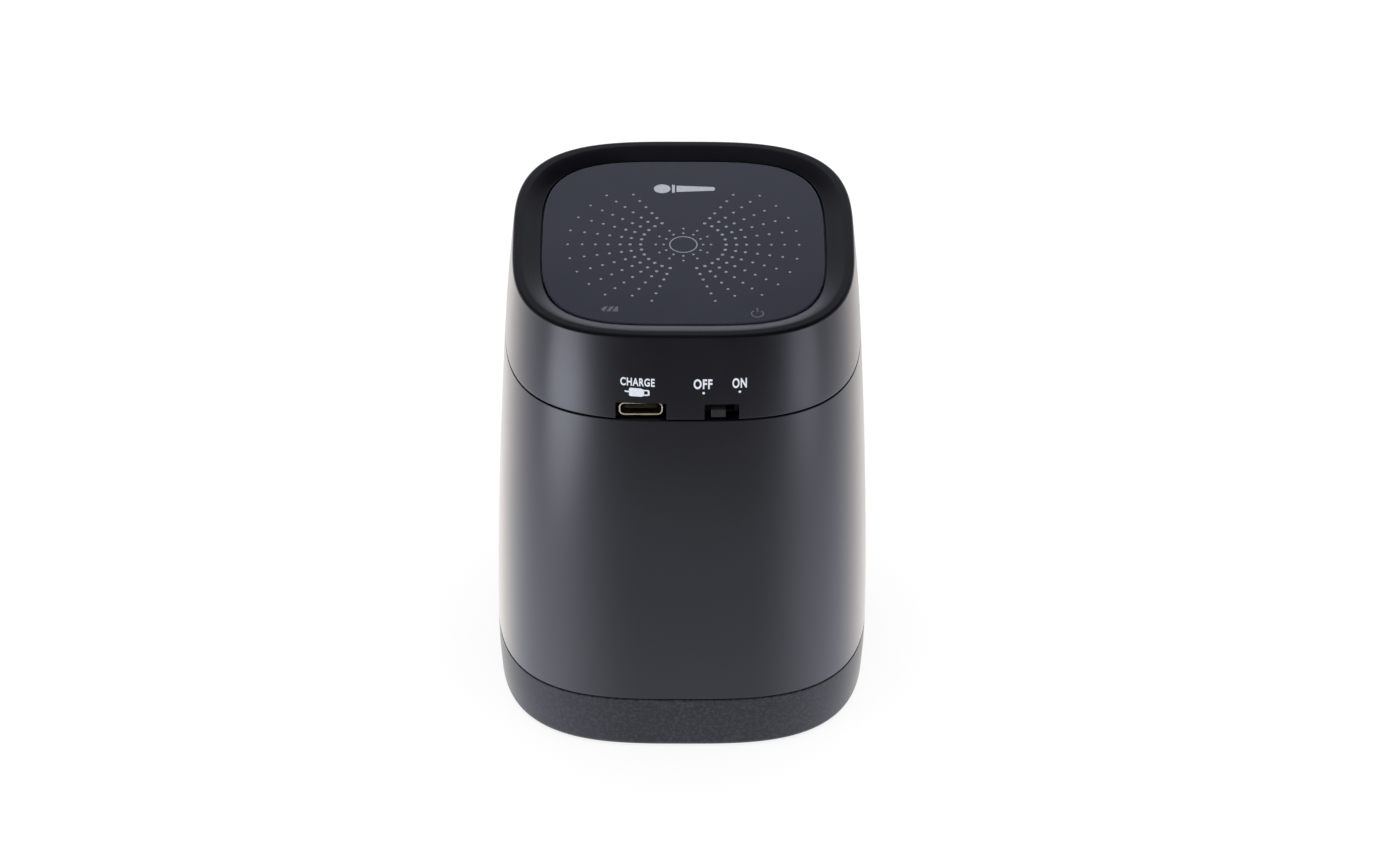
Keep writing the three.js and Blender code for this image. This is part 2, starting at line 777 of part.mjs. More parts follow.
// The lamps' wiring: a ring round the ceiling lamps' board, with a drop to each side lamp's board
function ledHarness() {
  const ringRadius = ceilingBoardRadius + seatGap + harnessRadius;
  const ringHeight = chassisTop + seatGap + harnessRadius;
  const ring = new THREE.TorusGeometry(ringRadius, harnessRadius, wireSides, roundSteps / 2);
  const tubeSide = carrierOuter + seatGap + harnessRadius;
  const padSide = padFace + seatGap + harnessRadius;
  const padTop = lampHeight + padHeight / 2;
  const bendHeight = padTop + 2 * padDepth;
  const drop = joined([
    rod(harnessRadius, -tubeSide, -ringRadius, [0, ringHeight], wireSides),
    post(harnessRadius, bendHeight, ringHeight + harnessRadius, [0, -tubeSide], wireSides),
    tubeAlong(
      [
        [0, -tubeSide, bendHeight + harnessRadius],
        [0, -padSide, padTop],
        [0, -padSide, lampHeight + lampBoardHeight / 2 + seatGap],
      ],
      harnessRadius,
    ),
  ]);
  return joined([solidFrom(ring.translate(0, 0, ringHeight)), ...quarterTurns(drop)]);
}

// Chassis, boards and battery

const boardScrewPlaces = () =>
  fourCorners(mainBoardHalf * boardScrewShares[0], mainBoardHalf * boardScrewShares[1]);

function chassis() {
  const hubOuter = ceilingPortRadius + carrierWall + seatGap + hubWall;
  const windowBore = ceilingPortRadius + carrierWall + seatGap;
  const plate = squirclePlate(chassisHalf, chassisBottom, chassisTop);
  const hub = post(hubOuter, hubBottom, chassisBottom + chassisThickness / 2, [0, 0], roundSteps / 2);
  const ribs = Array.from({ length: chassisRibs }, (_, number) =>
    block(
      [hubOuter - hubWall / 2, -chassisRibWidth / 2, chassisBottom - chassisRibDepth],
      [carrierInner - seatGap, chassisRibWidth / 2, chassisTop - chassisThickness / 2],
    ).rotate([0, 0, (number * 2 + 1) * (180 / chassisRibs)]),
  );
  const underRibs = squirclePlate(bodyHalf, chassisBottom - chassisRibDepth - cutOverrun, hubBottom);
  const postRoot = chassisTop - chassisThickness / 2;
  const boardPostRadius = screwShank + threadGap + bossWall / 2;
  const boardPosts = boardScrewPlaces().map((place) =>
    post(boardPostRadius, postRoot, chassisTop + boardPost, place),
  );
  const bossRadius = screwShank + threadGap + bossWall;
  const headPostTop = (chassisTop + recessBottom) / 2 - seatGap / 2;
  const headPosts = headScrewPlaces().map((place) => post(bossRadius, postRoot, headPostTop, place));
  const low = hubBottom - cutOverrun;
  const high = chassisTop + cutOverrun;
  const wireNotch = block(
    [-wireNotchWidth / 2, -bodyHalf, low],
    [wireNotchWidth / 2, -carrierInner + seatGap, high],
  );
  const cuts = [
    post(ceilingPortRadius, low, high, [0, 0], roundSteps / 2),
    post(windowBore, hubBottom + windowLedge, high, [0, 0], roundSteps / 2),
    ...quarterTurns(wireNotch),
    ...fourCorners(columnPlace, columnPlace).map((place) => post(screwShank + threadGap, low, high, place)),
    ...boardScrewPlaces().map((place) => post(screwShank + threadGap, low, high + boardPost, place)),
    ...headScrewPlaces().map((place) => post(screwShank + threadGap, low, headPostTop + cutOverrun, place)),
  ];
  const ribbed = joined([plate, ...ribs.map((rib) => rib.subtract(underRibs))]);
  return without(joined([ribbed, hub, ...boardPosts, ...headPosts]), cuts);
}

function mainBoard() {
  const plate = squirclePlate(mainBoardHalf, mainBoardBottom, mainBoardTop);
  const clearHeight = trayClearance - seatGap;
  const components = componentShares.map(([x, y, width, depth, height]) => {
    const outline = roundedOutline(width * mainBoardHalf, depth * mainBoardHalf, solderGap);
    const top = mainBoardTop + height * clearHeight;
    return slab(outline, mainBoardBottom + mainBoardThickness / 2, top).translate(
      x * mainBoardHalf,
      y * mainBoardHalf,
      0,
    );
  });
  const low = mainBoardBottom - cutOverrun;
  const high = mainBoardTop + cutOverrun;
  const bossRadius = screwShank + threadGap + bossWall;
  const holes = [
    ...boardScrewPlaces().map((place) => post(screwShank + threadGap, low, high, place)),
    ...headScrewPlaces().map((place) => post(bossRadius + seatGap, low, high, place)),
  ];
  return without(joined([plate, ...components]), holes);
}

const trayBottom = mainBoardTop + trayClearance;
const batteryBottom = trayBottom + trayFloor + seatGap;
const batteryTop = touchBoardBottom - batteryHeadroom;
const batteryWidth = mainBoardHalf * batteryWidthShare;
const batteryDepth = mainBoardHalf * batteryDepthShare;

const batteryCell = () =>
  slab(roundedOutline(batteryWidth, batteryDepth, batteryCorner), batteryBottom, batteryTop, batteryEdge);

function batteryTray() {
  const [x, y] = [batteryWidth / 2 + seatGap, batteryDepth / 2 + seatGap];
  const bottom = mainBoardTop + seatGap;
  const outer = slab(
    roundedOutline(2 * (x + trayWall), 2 * (y + trayWall), batteryEdge),
    trayBottom,
    trayBottom + trayWallHeight,
  );
  const inner = block([-x, -y, trayBottom + trayFloor], [x, y, trayBottom + trayWallHeight + cutOverrun]);
  const legs = boardScrewPlaces().map(([legX, legY]) => {
    const arm = block(
      [legX - trayLegRadius, Math.min(legY, Math.sign(legY) * y), trayBottom],
      [legX + trayLegRadius, Math.max(legY, Math.sign(legY) * y), trayBottom + trayFloor],
    );
    return arm.add(post(trayLegRadius, bottom, trayBottom + trayFloor, [legX, legY]));
  });
  const seat = traySeat();
  const holes = boardScrewPlaces().flatMap((place) => [
    post(screwShank + threadGap, bottom - cutOverrun, seat + cutOverrun, place),
    post(screwHead + threadGap, seat, trayBottom + trayFloor + cutOverrun, place),
  ]);
  return without(joined([outer.subtract(inner), ...legs]), holes);
}

const traySeat = () => mainBoardTop + seatGap + trayClearance * traySeatShare;

function batteryLead() {
  const [shareX, shareY, , depth, height] = batteryPlugShares;
  const plugTop = mainBoardTop + height * (trayClearance - seatGap) + batteryLeadRadius + seatGap / 2;
  const plug = [shareX * mainBoardHalf, (shareY + depth / 4) * mainBoardHalf, plugTop];
  const trayEdge = batteryDepth / 2 + seatGap + trayWall + seatGap + batteryLeadRadius;
  const over = trayBottom + trayWallHeight + batteryLeadRadius + seatGap;
  return tubeAlong(
    [
      plug,
      [plug[0], trayEdge - batteryLeadRadius, plugTop],
      [plug[0], trayEdge + batteryLeadRadius, (plugTop + over) / 2],
      [plug[0], trayEdge, over],
      [plug[0], batteryDepth / 2 + batteryLeadRadius + seatGap, over + batteryLeadRadius],
    ],
    batteryLeadRadius,
  );
}

function buzzer() {
  const bottom = mainBoardTop + solderGap;
  const top = bottom + buzzerHeight;
  const [x, y] = buzzerShares.map((share) => share * mainBoardHalf);
  return revolved(
    [
      [0, bottom],
      [buzzerRadius, bottom],
      [buzzerRadius, top - buzzerPort / 2],
      [buzzerRadius - buzzerPort / 2, top],
      [buzzerPort, top],
      [buzzerPort, top - buzzerPort],
      [0, top - buzzerPort],
    ],
    discSteps,
  ).translate(x, y, 0);
}

function touchBoard() {
  const [half, back, front] = touchBoardShares.map((share) => share * panelHalf);
  const outline = roundedOutline(2 * half, back + front, stakeRadius * 2);
  const plate = slab(outline, touchBoardBottom, touchBoardTop).translate(0, (back - front) / 2, 0);
  const chip = slab(
    roundedOutline(lampBoardWidth / 2, lampBoardWidth / 2, solderGap),
    touchBoardBottom - batteryHeadroom / 2,
    touchBoardBottom + touchBoardThickness / 2,
  ).translate(0, -(front + batteryDepth / 2) / 2, 0);
  const holes = touchStakePlaces().map((place) =>
    post(stakeRadius + threadGap, touchBoardBottom - cutOverrun, touchBoardTop + cutOverrun, place),
  );
  return without(plate.add(chip), holes);
}

const lightGuide = () => {
  const bottom = touchBoardTop + seatGap;
  return lightWindow(seatGap, bottom, bottom + lightGuideThickness);
};

// Panel

const touchPanel = () =>
  squircled(
    [
      [0, panelBottom],
      [panelHalf, panelBottom],
      [panelHalf, panelTop - panelEdge],
      [panelHalf - panelEdge, panelTop],
      [0, panelTop],
    ],
    panelPower,
  );

const panelTape = () =>
  squircled(
    [
      [panelHalf - seatGap - tapeWidth, recessTop],
      [panelHalf - seatGap, recessTop],
      [panelHalf - seatGap, panelBottom],
      [panelHalf - seatGap - tapeWidth, panelBottom],
    ],
    panelPower,
  );

// Charge inlet

const inletFront = -halfAt(seamHeight + inletNotchHeight / 2) + inletRecess;
const inletMiddle = mainBoardTop + inletStandoff + inletHeight / 2;

const inletOutline = (inset) =>
  roundedOutline(inletWidth - 2 * inset, inletHeight - 2 * inset, inletCorner - inset);

function usbShell() {
  const place = [inletX, inletMiddle];
  const tube = pushedBack(inletOutline(0), inletFront, inletLength, place);
  const boreLength = inletLength + 2 * cutOverrun;
  const bore = pushedBack(inletOutline(inletWall), inletFront - cutOverrun, boreLength, place);
  const footY = inletFront + inletLength - 2 * inletFootWidth;
  const feet = [-1, 1].map((side) => {
    const x = inletX + side * (inletWidth / 4);
    return block(
      [x - inletFootWidth / 2, footY, mainBoardTop + solderGap],
      [x + inletFootWidth / 2, footY + inletFootWidth, inletMiddle - inletHeight / 2 + inletWall / 2],
    );
  });
  return joined([tube.subtract(bore), ...feet]);
}

function usbTongue() {
  const place = [inletX, inletMiddle];
  const back = inletFront + inletLength;
  const rootFront = back - tongueRootLength;
  const root = pushedBack(inletOutline(inletWall + tongueGap), rootFront, tongueRootLength, place);
  const tongue = pushedBack(
    roundedOutline(tongueWidth, tongueThickness, tongueEdge),
    rootFront - tongueLength + inletWall,
    tongueLength,
    place,
    cornerSteps,
  );
  return root.add(tongue);
}

// Slide switch, with its knob at OFF

const caseFront = -headInnerAt(seamHeight) + switchCaseInset;
const caseBottom = mainBoardTop + solderGap;
const knobMiddle = caseBottom + switchCaseHeight / 2;
const knobX = switchX - switchTravel / 2;
const knobFront = caseFront - seatGap / 2 - knobDepth;

function switchCase() {
  const half = switchCaseWidth / 2;
  const shell = block(
    [switchX - half, caseFront, caseBottom],
    [switchX + half, caseFront + switchCaseDepth, caseBottom + switchCaseHeight],
  );
  const hollow = block(
    [switchX - half + switchCaseWall, caseFront + switchCaseWall, caseBottom + switchCaseWall],
    [
      switchX + half - switchCaseWall,
      caseFront + switchCaseDepth - switchCaseWall,
      caseBottom + switchCaseHeight - switchCaseWall,
    ],
  );
  const windowHalf = (knobStem + switchTravel) / 2 + seatGap;
  const windowRise = knobStem / 2 - seatGap / 2;
  const window = block(
    [switchX - windowHalf, caseFront - cutOverrun, knobMiddle - windowRise],
    [switchX + windowHalf, caseFront + 2 * switchCaseWall, knobMiddle + windowRise],
  );
  return without(shell, [hollow, window]);
}

function switchKnob() {
  const capOutline = roundedOutline(knobWidth, knobHeight, knobEdge);
  const cap = pushedBack(capOutline, knobFront, knobDepth, [knobX, knobMiddle], cornerSteps);
  const stemRise = knobStem / 2 - seatGap;
  const stemBack = caseFront + switchCaseDepth - switchCaseWall - seatGap;
  const stem = block(
    [knobX - knobStem / 2, knobFront + knobDepth / 2, knobMiddle - stemRise],
    [knobX + knobStem / 2, stemBack, knobMiddle + stemRise],
  );
  return cap.add(stem);
}

addPiece("rubber_boot", rubberBoot(), finishes.bootRubber);
addPiece("body_sleeve", bodySleeve(), finishes.satinShell);
addPiece("head_cover", headCover(), finishes.satinShell);
addPiece("touch_panel", touchPanel(), finishes.glossPanel);
addPiece("panel_tape", panelTape(), finishes.tapeFoam);
addPiece("light_guide", lightGuide(), finishes.diffuser);
addPiece("touch_board", touchBoard(), finishes.board);

addPiece("usb_shell", usbShell(), finishes.stampedSteel);
addPiece("usb_tongue", usbTongue(), finishes.innerPlastic);
addPiece("switch_case", switchCase(), finishes.innerPlastic);
addPiece("switch_knob", switchKnob(), finishes.satinShell);

addPiece("main_board", mainBoard(), finishes.board);
addPiece("buzzer", buzzer(), finishes.innerPlastic);
addPiece("battery_cell", batteryCell(), finishes.cellFoil);
addPiece("battery_tray", batteryTray(), finishes.innerPlastic);
addPiece("battery_lead", batteryLead(), finishes.wireJacket);
addPiece("chassis", chassis(), finishes.innerPlastic);

addPiece("chamber_reflector", chamberReflector(), finishes.brightLiner);
addPiece("chamber_frame", chamberFrame(), finishes.innerPlastic);
addPiece("led_harness", ledHarness(), finishes.wireJacket);
addCeilingLamps();
addSideLamps();

addPiece("base_ring", baseRing(), finishes.innerPlastic);
addPiece("mouth_seal", mouthSeal(), finishes.softSilicone);

fourCorners(columnPlace, columnPlace).forEach(([x, y], index) => {
  const chassisScrew = panScrew(chassisTop + solderGap);
  addPiece(`chassis_screw_${index + 1}`, chassisScrew, finishes.screwSteel).position.set(x, y, 0);
  const baseScrew = sunkScrew(sleeveBottom);
  addPiece(`base_screw_${index + 1}`, baseScrew, finishes.screwSteel).position.set(x, y, 0);
});
boardScrewPlaces().forEach(([x, y], index) => {
  const screw = panScrew(traySeat() + solderGap, boardScrewLength);
  addPiece(`board_screw_${index + 1}`, screw, finishes.screwSteel).position.set(x, y, 0);
});
headScrewPlaces().forEach(([x, y], index) => {
  const screw = panScrew(headScrewSeat(), headScrewLength);
  addPiece(`head_screw_${index + 1}`, screw, finishes.screwSteel).position.set(x, y, 0);
});

export default sanitizer;
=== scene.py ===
"""A battery powered UV sanitizer that a handheld microphone's head is pushed into from below.

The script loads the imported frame, builds the pieces whose looks need finer shapes than the solids have,
dresses every piece and sets a plain studio. The classes keep their sizes in millimetres and the meshes
are in metres. +Z is up, and the front wall with the charge inlet and the switch faces -Y.
"""

import logging
import math
from abc import ABC, abstractmethod
from collections.abc import Callable, Iterable, Sequence
from dataclasses import dataclass, replace
from enum import Enum
from itertools import product

import bmesh
import bpy
from mathutils import Matrix, Vector


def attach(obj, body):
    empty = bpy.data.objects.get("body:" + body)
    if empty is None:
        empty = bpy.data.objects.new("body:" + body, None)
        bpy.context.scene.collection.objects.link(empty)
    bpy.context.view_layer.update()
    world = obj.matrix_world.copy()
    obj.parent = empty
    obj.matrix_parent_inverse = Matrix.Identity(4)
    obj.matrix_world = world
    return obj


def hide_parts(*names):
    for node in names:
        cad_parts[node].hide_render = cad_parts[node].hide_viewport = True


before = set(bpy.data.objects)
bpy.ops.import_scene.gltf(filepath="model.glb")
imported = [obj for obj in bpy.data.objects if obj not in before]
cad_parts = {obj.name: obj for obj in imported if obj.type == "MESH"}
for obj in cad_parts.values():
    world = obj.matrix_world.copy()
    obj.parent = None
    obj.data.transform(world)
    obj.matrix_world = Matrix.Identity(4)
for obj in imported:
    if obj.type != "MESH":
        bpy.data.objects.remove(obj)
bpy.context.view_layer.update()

MM = 0.001
# Corners that a cut leaves closer together than this, in metres, are one corner
SLIVER = 1e-7
# Edges sharper than this many degrees stay crisp
CRISP = 40.0
# Nearly all values of a noise texture lie in the first range, and most of them in the second
NOISE_RANGE = (0.3, 0.7)
NOISE_MIDDLE = (0.35, 0.65)
LOG = logging.getLogger("sanitizer")

Colour = tuple[float, float, float, float]
Place = tuple[float, float, float]
Flat = tuple[float, float]
Shape = Sequence[Flat]
Lift = Callable[[float, float, float], Place]
Node = bpy.types.Node
Tree = bpy.types.NodeTree
Socket = bpy.types.NodeSocket
Solid = bpy.types.Object


class Body(Enum):
    """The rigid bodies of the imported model."""

    HOUSING = "housing"
    SLIDER = "switch_slider"


class Slot(Enum):
    """The record's material slots that new pieces are given."""

    SHELL = "satin_shell"
    PANEL = "gloss_panel"
    BOOT = "boot_rubber"
    SILICONE = "soft_silicone"
    INNER = "inner_plastic"
    DIFFUSER = "diffuser"
    LINER = "bright_liner"
    STEEL = "stamped_steel"


class Carve(Enum):
    """How a second solid changes the first."""

    CUT = "DIFFERENCE"
    JOIN = "UNION"


class Pattern(Enum):
    """The kinds of texture that a layer of grain can have."""

    MOTTLE = "cloudy spots"
    CELLS = "round cells"
    TURNED = "rings round the object's axis"
    TRACES = "copper runs under lacquer"


# Materials


def linear(hex_colour: str) -> Colour:
    """Turns an sRGB hex colour into the linear values that shaders take.

    Args:
        hex_colour: Six hex digits after a hash.

    Returns:
        Red, green, blue and an alpha of 1.
    """
    shares = [int(hex_colour[place : place + 2], 16) / 255 for place in (1, 3, 5)]
    red, green, blue = (
        share / 12.92 if share <= 0.04045 else ((share + 0.055) / 1.055) ** 2.4 for share in shares
    )
    return red, green, blue, 1.0


def add_node(
    tree: Tree, kind: str, inputs: dict[str | int, object] | None = None, **settings: object
) -> Node:
    """Adds one node with its settings and its links.

    Args:
        tree: The tree that gets the node.
        kind: The node's type name.
        inputs: A value, or another node's output, for each named or numbered input.
        settings: Properties of the node itself.

    Returns:
        The new node.
    """
    node = tree.nodes.new(kind)
    for name, value in settings.items():
        setattr(node, name, value)
    for name, value in (inputs or {}).items():
        if isinstance(value, Socket):
            tree.links.new(value, node.inputs[name])
        else:
            node.inputs[name].default_value = value
    return node


@dataclass(frozen=True)
class Grain:
    """One layer of texture on a surface.

    Attributes:
        size: Width of one spot, cell or ring in millimetres.
        depth: Height of the relief in millimetres.
        gloss: How far the roughness swings up and down.
        shade: The second colour, as sRGB hex.
        cover: Share of the surface that the second colour takes.
        edge: Softness of the second colour's spots.
        pattern: The kind of texture.
        stretch: How much finer the pattern is along X, Y and Z.
    """

    size: float
    depth: float = 0.0
    gloss: float = 0.0
    shade: str | None = None
    cover: float = 0.5
    edge: float = 0.3
    pattern: Pattern = Pattern.MOTTLE
    stretch: Place = (1.0, 1.0, 1.0)

    def height(self, tree: Tree) -> Socket:
        """Builds the pattern.

        Args:
            tree: The material's tree.

        Returns:
            The output that holds the pattern's height, from 0 to 1.
        """
        place = add_node(tree, "ShaderNodeTexCoord").outputs["Object"]
        spread = add_node(tree, "ShaderNodeMapping", {"Vector": place, "Scale": self.stretch}).outputs[0]
        spots = {"Vector": spread, "Scale": 1 / (self.size * MM)}
        if self.pattern is Pattern.CELLS:
            return add_node(tree, "ShaderNodeTexVoronoi", spots).outputs["Distance"]
        if self.pattern is Pattern.TURNED:
            flat = add_node(tree, "ShaderNodeVectorMath", {0: spread, 1: (1, 1, 0)}, operation="MULTIPLY")
            radius = add_node(tree, "ShaderNodeVectorMath", {0: flat.outputs[0]}, operation="LENGTH")
            rise = add_node(tree, "ShaderNodeSeparateXYZ", {"Vector": spread}).outputs["Z"]
            along = add_node(tree, "ShaderNodeMath", {0: radius.outputs["Value"], 1: rise}, operation="ADD")
            rings = {"W": along.outputs[0], "Scale": spots["Scale"], "Detail": 3.0}
            return add_node(tree, "ShaderNodeTexNoise", rings, noise_dimensions="1D").outputs[0]
        if self.pattern is Pattern.TRACES:
            runs = {
                **spots,
                "Color1": (0, 0, 0, 1),
                "Color2": (0, 0, 0, 1),
                "Mortar": (1, 1, 1, 1),
                "Mortar Size": 0.06,
                "Brick Width": 0.8,
                "Row Height": 0.25,
            }
            return add_node(tree, "ShaderNodeTexBrick", runs, offset=0.37, squash=1.6).outputs["Fac"]
        return add_node(tree, "ShaderNodeTexNoise", {**spots, "Detail": 3.0, "Roughness": 0.6}).outputs[0]


@dataclass(frozen=True)
class Finish:
    """A surface: what the piece is made of and how that was made.

    Attributes:
        name: The material's own name.
        colour: Its colour as sRGB hex.
        roughness: How blurred its reflections are.
        metallic: 1 for bare metal.
        ior: Its index of refraction, which a metal leaves at the default.
        coat: Strength of a clear layer on top.
        coat_roughness: How blurred that layer's reflections are.
        grains: The layers of texture.
    """

    name: str
    colour: str
    roughness: float
    metallic: float = 0.0
    ior: float = 1.5
    coat: float = 0.0
    coat_roughness: float = 0.03
    grains: tuple[Grain, ...] = ()

    def material(self) -> bpy.types.Material:
        """Builds the material once and returns it."""
        known = bpy.data.materials.get(self.name)
        if known:
            return known
        made = bpy.data.materials.new(self.name)
        made.use_nodes = True
        made.diffuse_color = linear(self.colour)
        shader = made.node_tree.nodes["Principled BSDF"]
        values = {
            "Base Color": linear(self.colour),
            "Roughness": self.roughness,
            "Metallic": self.metallic,
            "IOR": self.ior,
            "Coat Weight": self.coat,
            "Coat Roughness": self.coat_roughness,
            **self.extras(),
        }
        for socket, value in values.items():
            shader.inputs[socket].default_value = value
        for grain in self.grains:
            self.lay(made.node_tree, shader, grain)
        return made

    def extras(self) -> dict[str, float]:
        """Lists what only this kind of finish sets on its shader; a plain one sets nothing more."""
        return {}

    def lay(self, tree: Tree, shader: Node, grain: Grain) -> None:
        """Lays one layer of texture over the ones before.

        Args:
            tree: The material's tree.
            shader: Its shader.
            grain: The layer.
        """
        height = grain.height(tree)
        if grain.depth:
            normal = shader.inputs["Normal"]
            relief = {"Height": height, "Distance": grain.depth * MM, "Strength": 1.0}
            if normal.is_linked:
                relief["Normal"] = normal.links[0].from_socket
            tree.links.new(add_node(tree, "ShaderNodeBump", relief).outputs["Normal"], normal)
        if grain.gloss:
            roughness = shader.inputs["Roughness"]
            start = roughness.links[0].from_socket if roughness.is_linked else roughness.default_value
            low, high = NOISE_RANGE
            span = {"From Min": low, "From Max": high, "To Min": -grain.gloss, "To Max": grain.gloss}
            swing = add_node(tree, "ShaderNodeMapRange", {"Value": height, **span})
            terms = {0: start, 1: swing.outputs[0]}
            total = add_node(tree, "ShaderNodeMath", terms, operation="ADD", use_clamp=True)
            tree.links.new(total.outputs[0], roughness)
        if grain.shade:
            colour = shader.inputs["Base Color"]
            start = colour.links[0].from_socket if colour.is_linked else tuple(colour.default_value)
            low, high = (0.0, 1.0) if grain.pattern is Pattern.TRACES else NOISE_MIDDLE
            middle = high - (high - low) * grain.cover
            share = add_node(
                tree,
                "ShaderNodeMapRange",
                {"Value": height, "From Min": middle - grain.edge / 2, "From Max": middle + grain.edge / 2},
                interpolation_type="SMOOTHSTEP",
            )
            mixed = add_node(
                tree,
                "ShaderNodeMix",
                {"Factor": share.outputs[0], 6: start, 7: linear(grain.shade)},
                data_type="RGBA",
            )
            tree.links.new(mixed.outputs[2], colour)


@dataclass(frozen=True)
class ClearFinish(Finish):
    """Glass or quartz that light passes through.

    Attributes:
        clearness: Share of the light that passes.
    """

    clearness: float = 1.0

    def extras(self) -> dict[str, float]:
        """Lets light through the piece."""
        return {"Transmission Weight": self.clearness}


@dataclass(frozen=True)
class SoftFinish(Finish):
    """Silicone or milky plastic, which light enters a little.

    Attributes:
        depth: How far light travels inside, in millimetres.
        share: Share of the colour that comes from inside.
    """

    depth: float = 1.0
    share: float = 0.3

    def extras(self) -> dict[str, float]:
        """Lets light travel under the surface."""
        return {"Subsurface Weight": self.share, "Subsurface Scale": self.depth * MM}


@dataclass(frozen=True)
class DustyFinish(Finish):
    """Rubber or foam whose fine nap catches light at a glancing angle.

    Attributes:
        nap: Weight of the pale glancing sheen.
        nap_roughness: How wide the sheen spreads.
    """

    nap: float = 0.2
    nap_roughness: float = 0.35

    def extras(self) -> dict[str, float]:
        """Adds the sheen."""
        return {"Sheen Weight": self.nap, "Sheen Roughness": self.nap_roughness}


def board(name: str, colour: str, run: str, roughness: float = 0.3, width: float = 9) -> Finish:
    """Makes a circuit board under solder mask, a glossy lacquer over slightly lighter copper runs.

    Args:
        name: The material's name.
        colour: The mask's colour.
        run: Its colour over the runs.
        roughness: How blurred its reflections are.
        width: Width of the pattern of runs in millimetres.

    Returns:
        The finish.
    """
    traces = Grain(width, depth=0.02, shade=run, edge=0.2, pattern=Pattern.TRACES)
    return Finish(name, colour, roughness, grains=(traces, Grain(0.5, depth=0.003)))


def panel_ink(name: str, colour: str, shade: str) -> Finish:
    """Makes an ink printed behind the panel's film, from its colour and the colour of its spots."""
    spots = Grain(0.7, shade=shade, cover=0.4, edge=0.4)
    return Finish(name, colour, 0.35, grains=(Grain(0.15, depth=0.001), spots))


# ABS under a satin lacquer: an even fine grain spreads highlights into soft bands with a readable edge. Real
# lacquer's grain is about 0.05 mm and is drawn at 0.18 mm, the finest that shows.
SATIN_SHELL = Finish(
    "satin_lacquered_abs",
    "#0c0912",
    0.32,
    ior=1.54,
    coat=1.0,
    coat_roughness=0.22,
    grains=(Grain(0.18, depth=0.003), Grain(14, gloss=0.02, shade="#0f0c16")),
)
# The knob is bare acetal: paler and rougher than the lacquer, with a fine sanded grain on its faces.
KNOB_ACETAL = Finish(
    "bare_moulded_acetal",
    "#252627",
    0.45,
    ior=1.48,
    grains=(Grain(0.15, depth=0.006, gloss=0.04), Grain(0.9, shade="#2d2e2f", cover=0.4)),
)
# A flat ABS plate under a hard clear film: sharp reflections with the faintest waviness, and a cloudy tint.
PANEL_FILM = Finish(
    "hard_coated_panel_film",
    "#323440",
    0.1,
    coat=1.0,
    grains=(Grain(9, depth=0.0008), Grain(22, gloss=0.02, shade="#353743", edge=0.4)),
)
# Moulded silicone rubber, left matte by a blasted mould: fine pale and dark specks break up the surface.
BOOT_RUBBER = DustyFinish(
    "blasted_silicone_rubber",
    "#282b33",
    0.5,
    grains=(
        Grain(0.3, depth=0.022, shade="#1a1d23", cover=0.45),
        Grain(0.7, gloss=0.05, shade="#363942", cover=0.35, edge=0.25),
    ),
    nap=0.62,
)
# Soft liquid silicone, moulded smooth: it bends round the microphone and lets a little light in.
LIP_SILICONE = SoftFinish(
    "soft_moulded_silicone",
    "#3b3c40",
    0.55,
    ior=1.41,
    grains=(Grain(0.5, depth=0.008), Grain(7, gloss=0.05, shade="#424348", cover=0.4)),
)
# Glass filled nylon of the hidden frame: dull, with faint pale streaks where the glass came to the surface.
INNER_NYLON = Finish(
    "glass_filled_nylon",
    "#0f1011",
    0.62,
    ior=1.53,
    grains=(
        Grain(0.4, depth=0.01, gloss=0.04),
        Grain(1.6, shade="#191a1c", cover=0.3, stretch=(1.0, 1.0, 0.25)),
    ),
)
# Milky acrylic that spreads the light under the panel.
MILKY_ACRYLIC = SoftFinish(
    "milky_acrylic",
    "#e4e6e8",
    0.35,
    ior=1.49,
    grains=(Grain(0.6, depth=0.004), Grain(6, gloss=0.03, shade="#dcdfe3", cover=0.4)),
    depth=1.2,
    share=0.6,
)
# Acrylic foam tape: closed cells under a dusty black skin.
FOAM_TAPE = DustyFinish(
    "acrylic_foam_tape",
    "#101012",
    0.95,
    grains=(Grain(0.25, depth=0.03, shade="#1b1b1e", cover=0.4, pattern=Pattern.CELLS),),
)
# Epoxy glass board under green solder mask: a saturated green with paler lines.
GREEN_BOARD = board("green_solder_mask", "#12402b", "#1d5a3c")
# The same board under black solder mask, which hides behind the openings in the wall.
BLACK_BOARD = board("black_solder_mask", "#0c0d0e", "#17181a", 0.32)
# Aluminium board under white solder mask, which throws the lamps' light forward.
WHITE_BOARD = board("white_solder_mask", "#d4d6d6", "#c6c9c8", 0.35, 6)
# The lamp's alumina package with its glass lens: bright, dense and slightly warm.
LAMP_CERAMIC = Finish(
    "alumina_lamp_package",
    "#dcd6c4",
    0.28,
    ior=1.7,
    grains=(Grain(0.12, depth=0.003), Grain(0.8, gloss=0.05, shade="#cfc7b0", cover=0.4)),
)
# Fused quartz, fire polished: clear to the lamps' light, with no tint.
QUARTZ = ClearFinish(
    "fused_quartz", "#f2f6f8", 0.02, ior=1.46, grains=(Grain(5, depth=0.0006),), clearness=0.96
)
# Aluminium sheet, spun over a form and polished: fine rings run round the bowl.
SPUN_ALUMINIUM = Finish(
    "spun_polished_aluminium",
    "#d6d8da",
    0.16,
    metallic=1.0,
    grains=(
        Grain(0.35, depth=0.002, gloss=0.05, pattern=Pattern.TURNED),
        Grain(8, gloss=0.03, shade="#cdd0d3", cover=0.4),
    ),
)
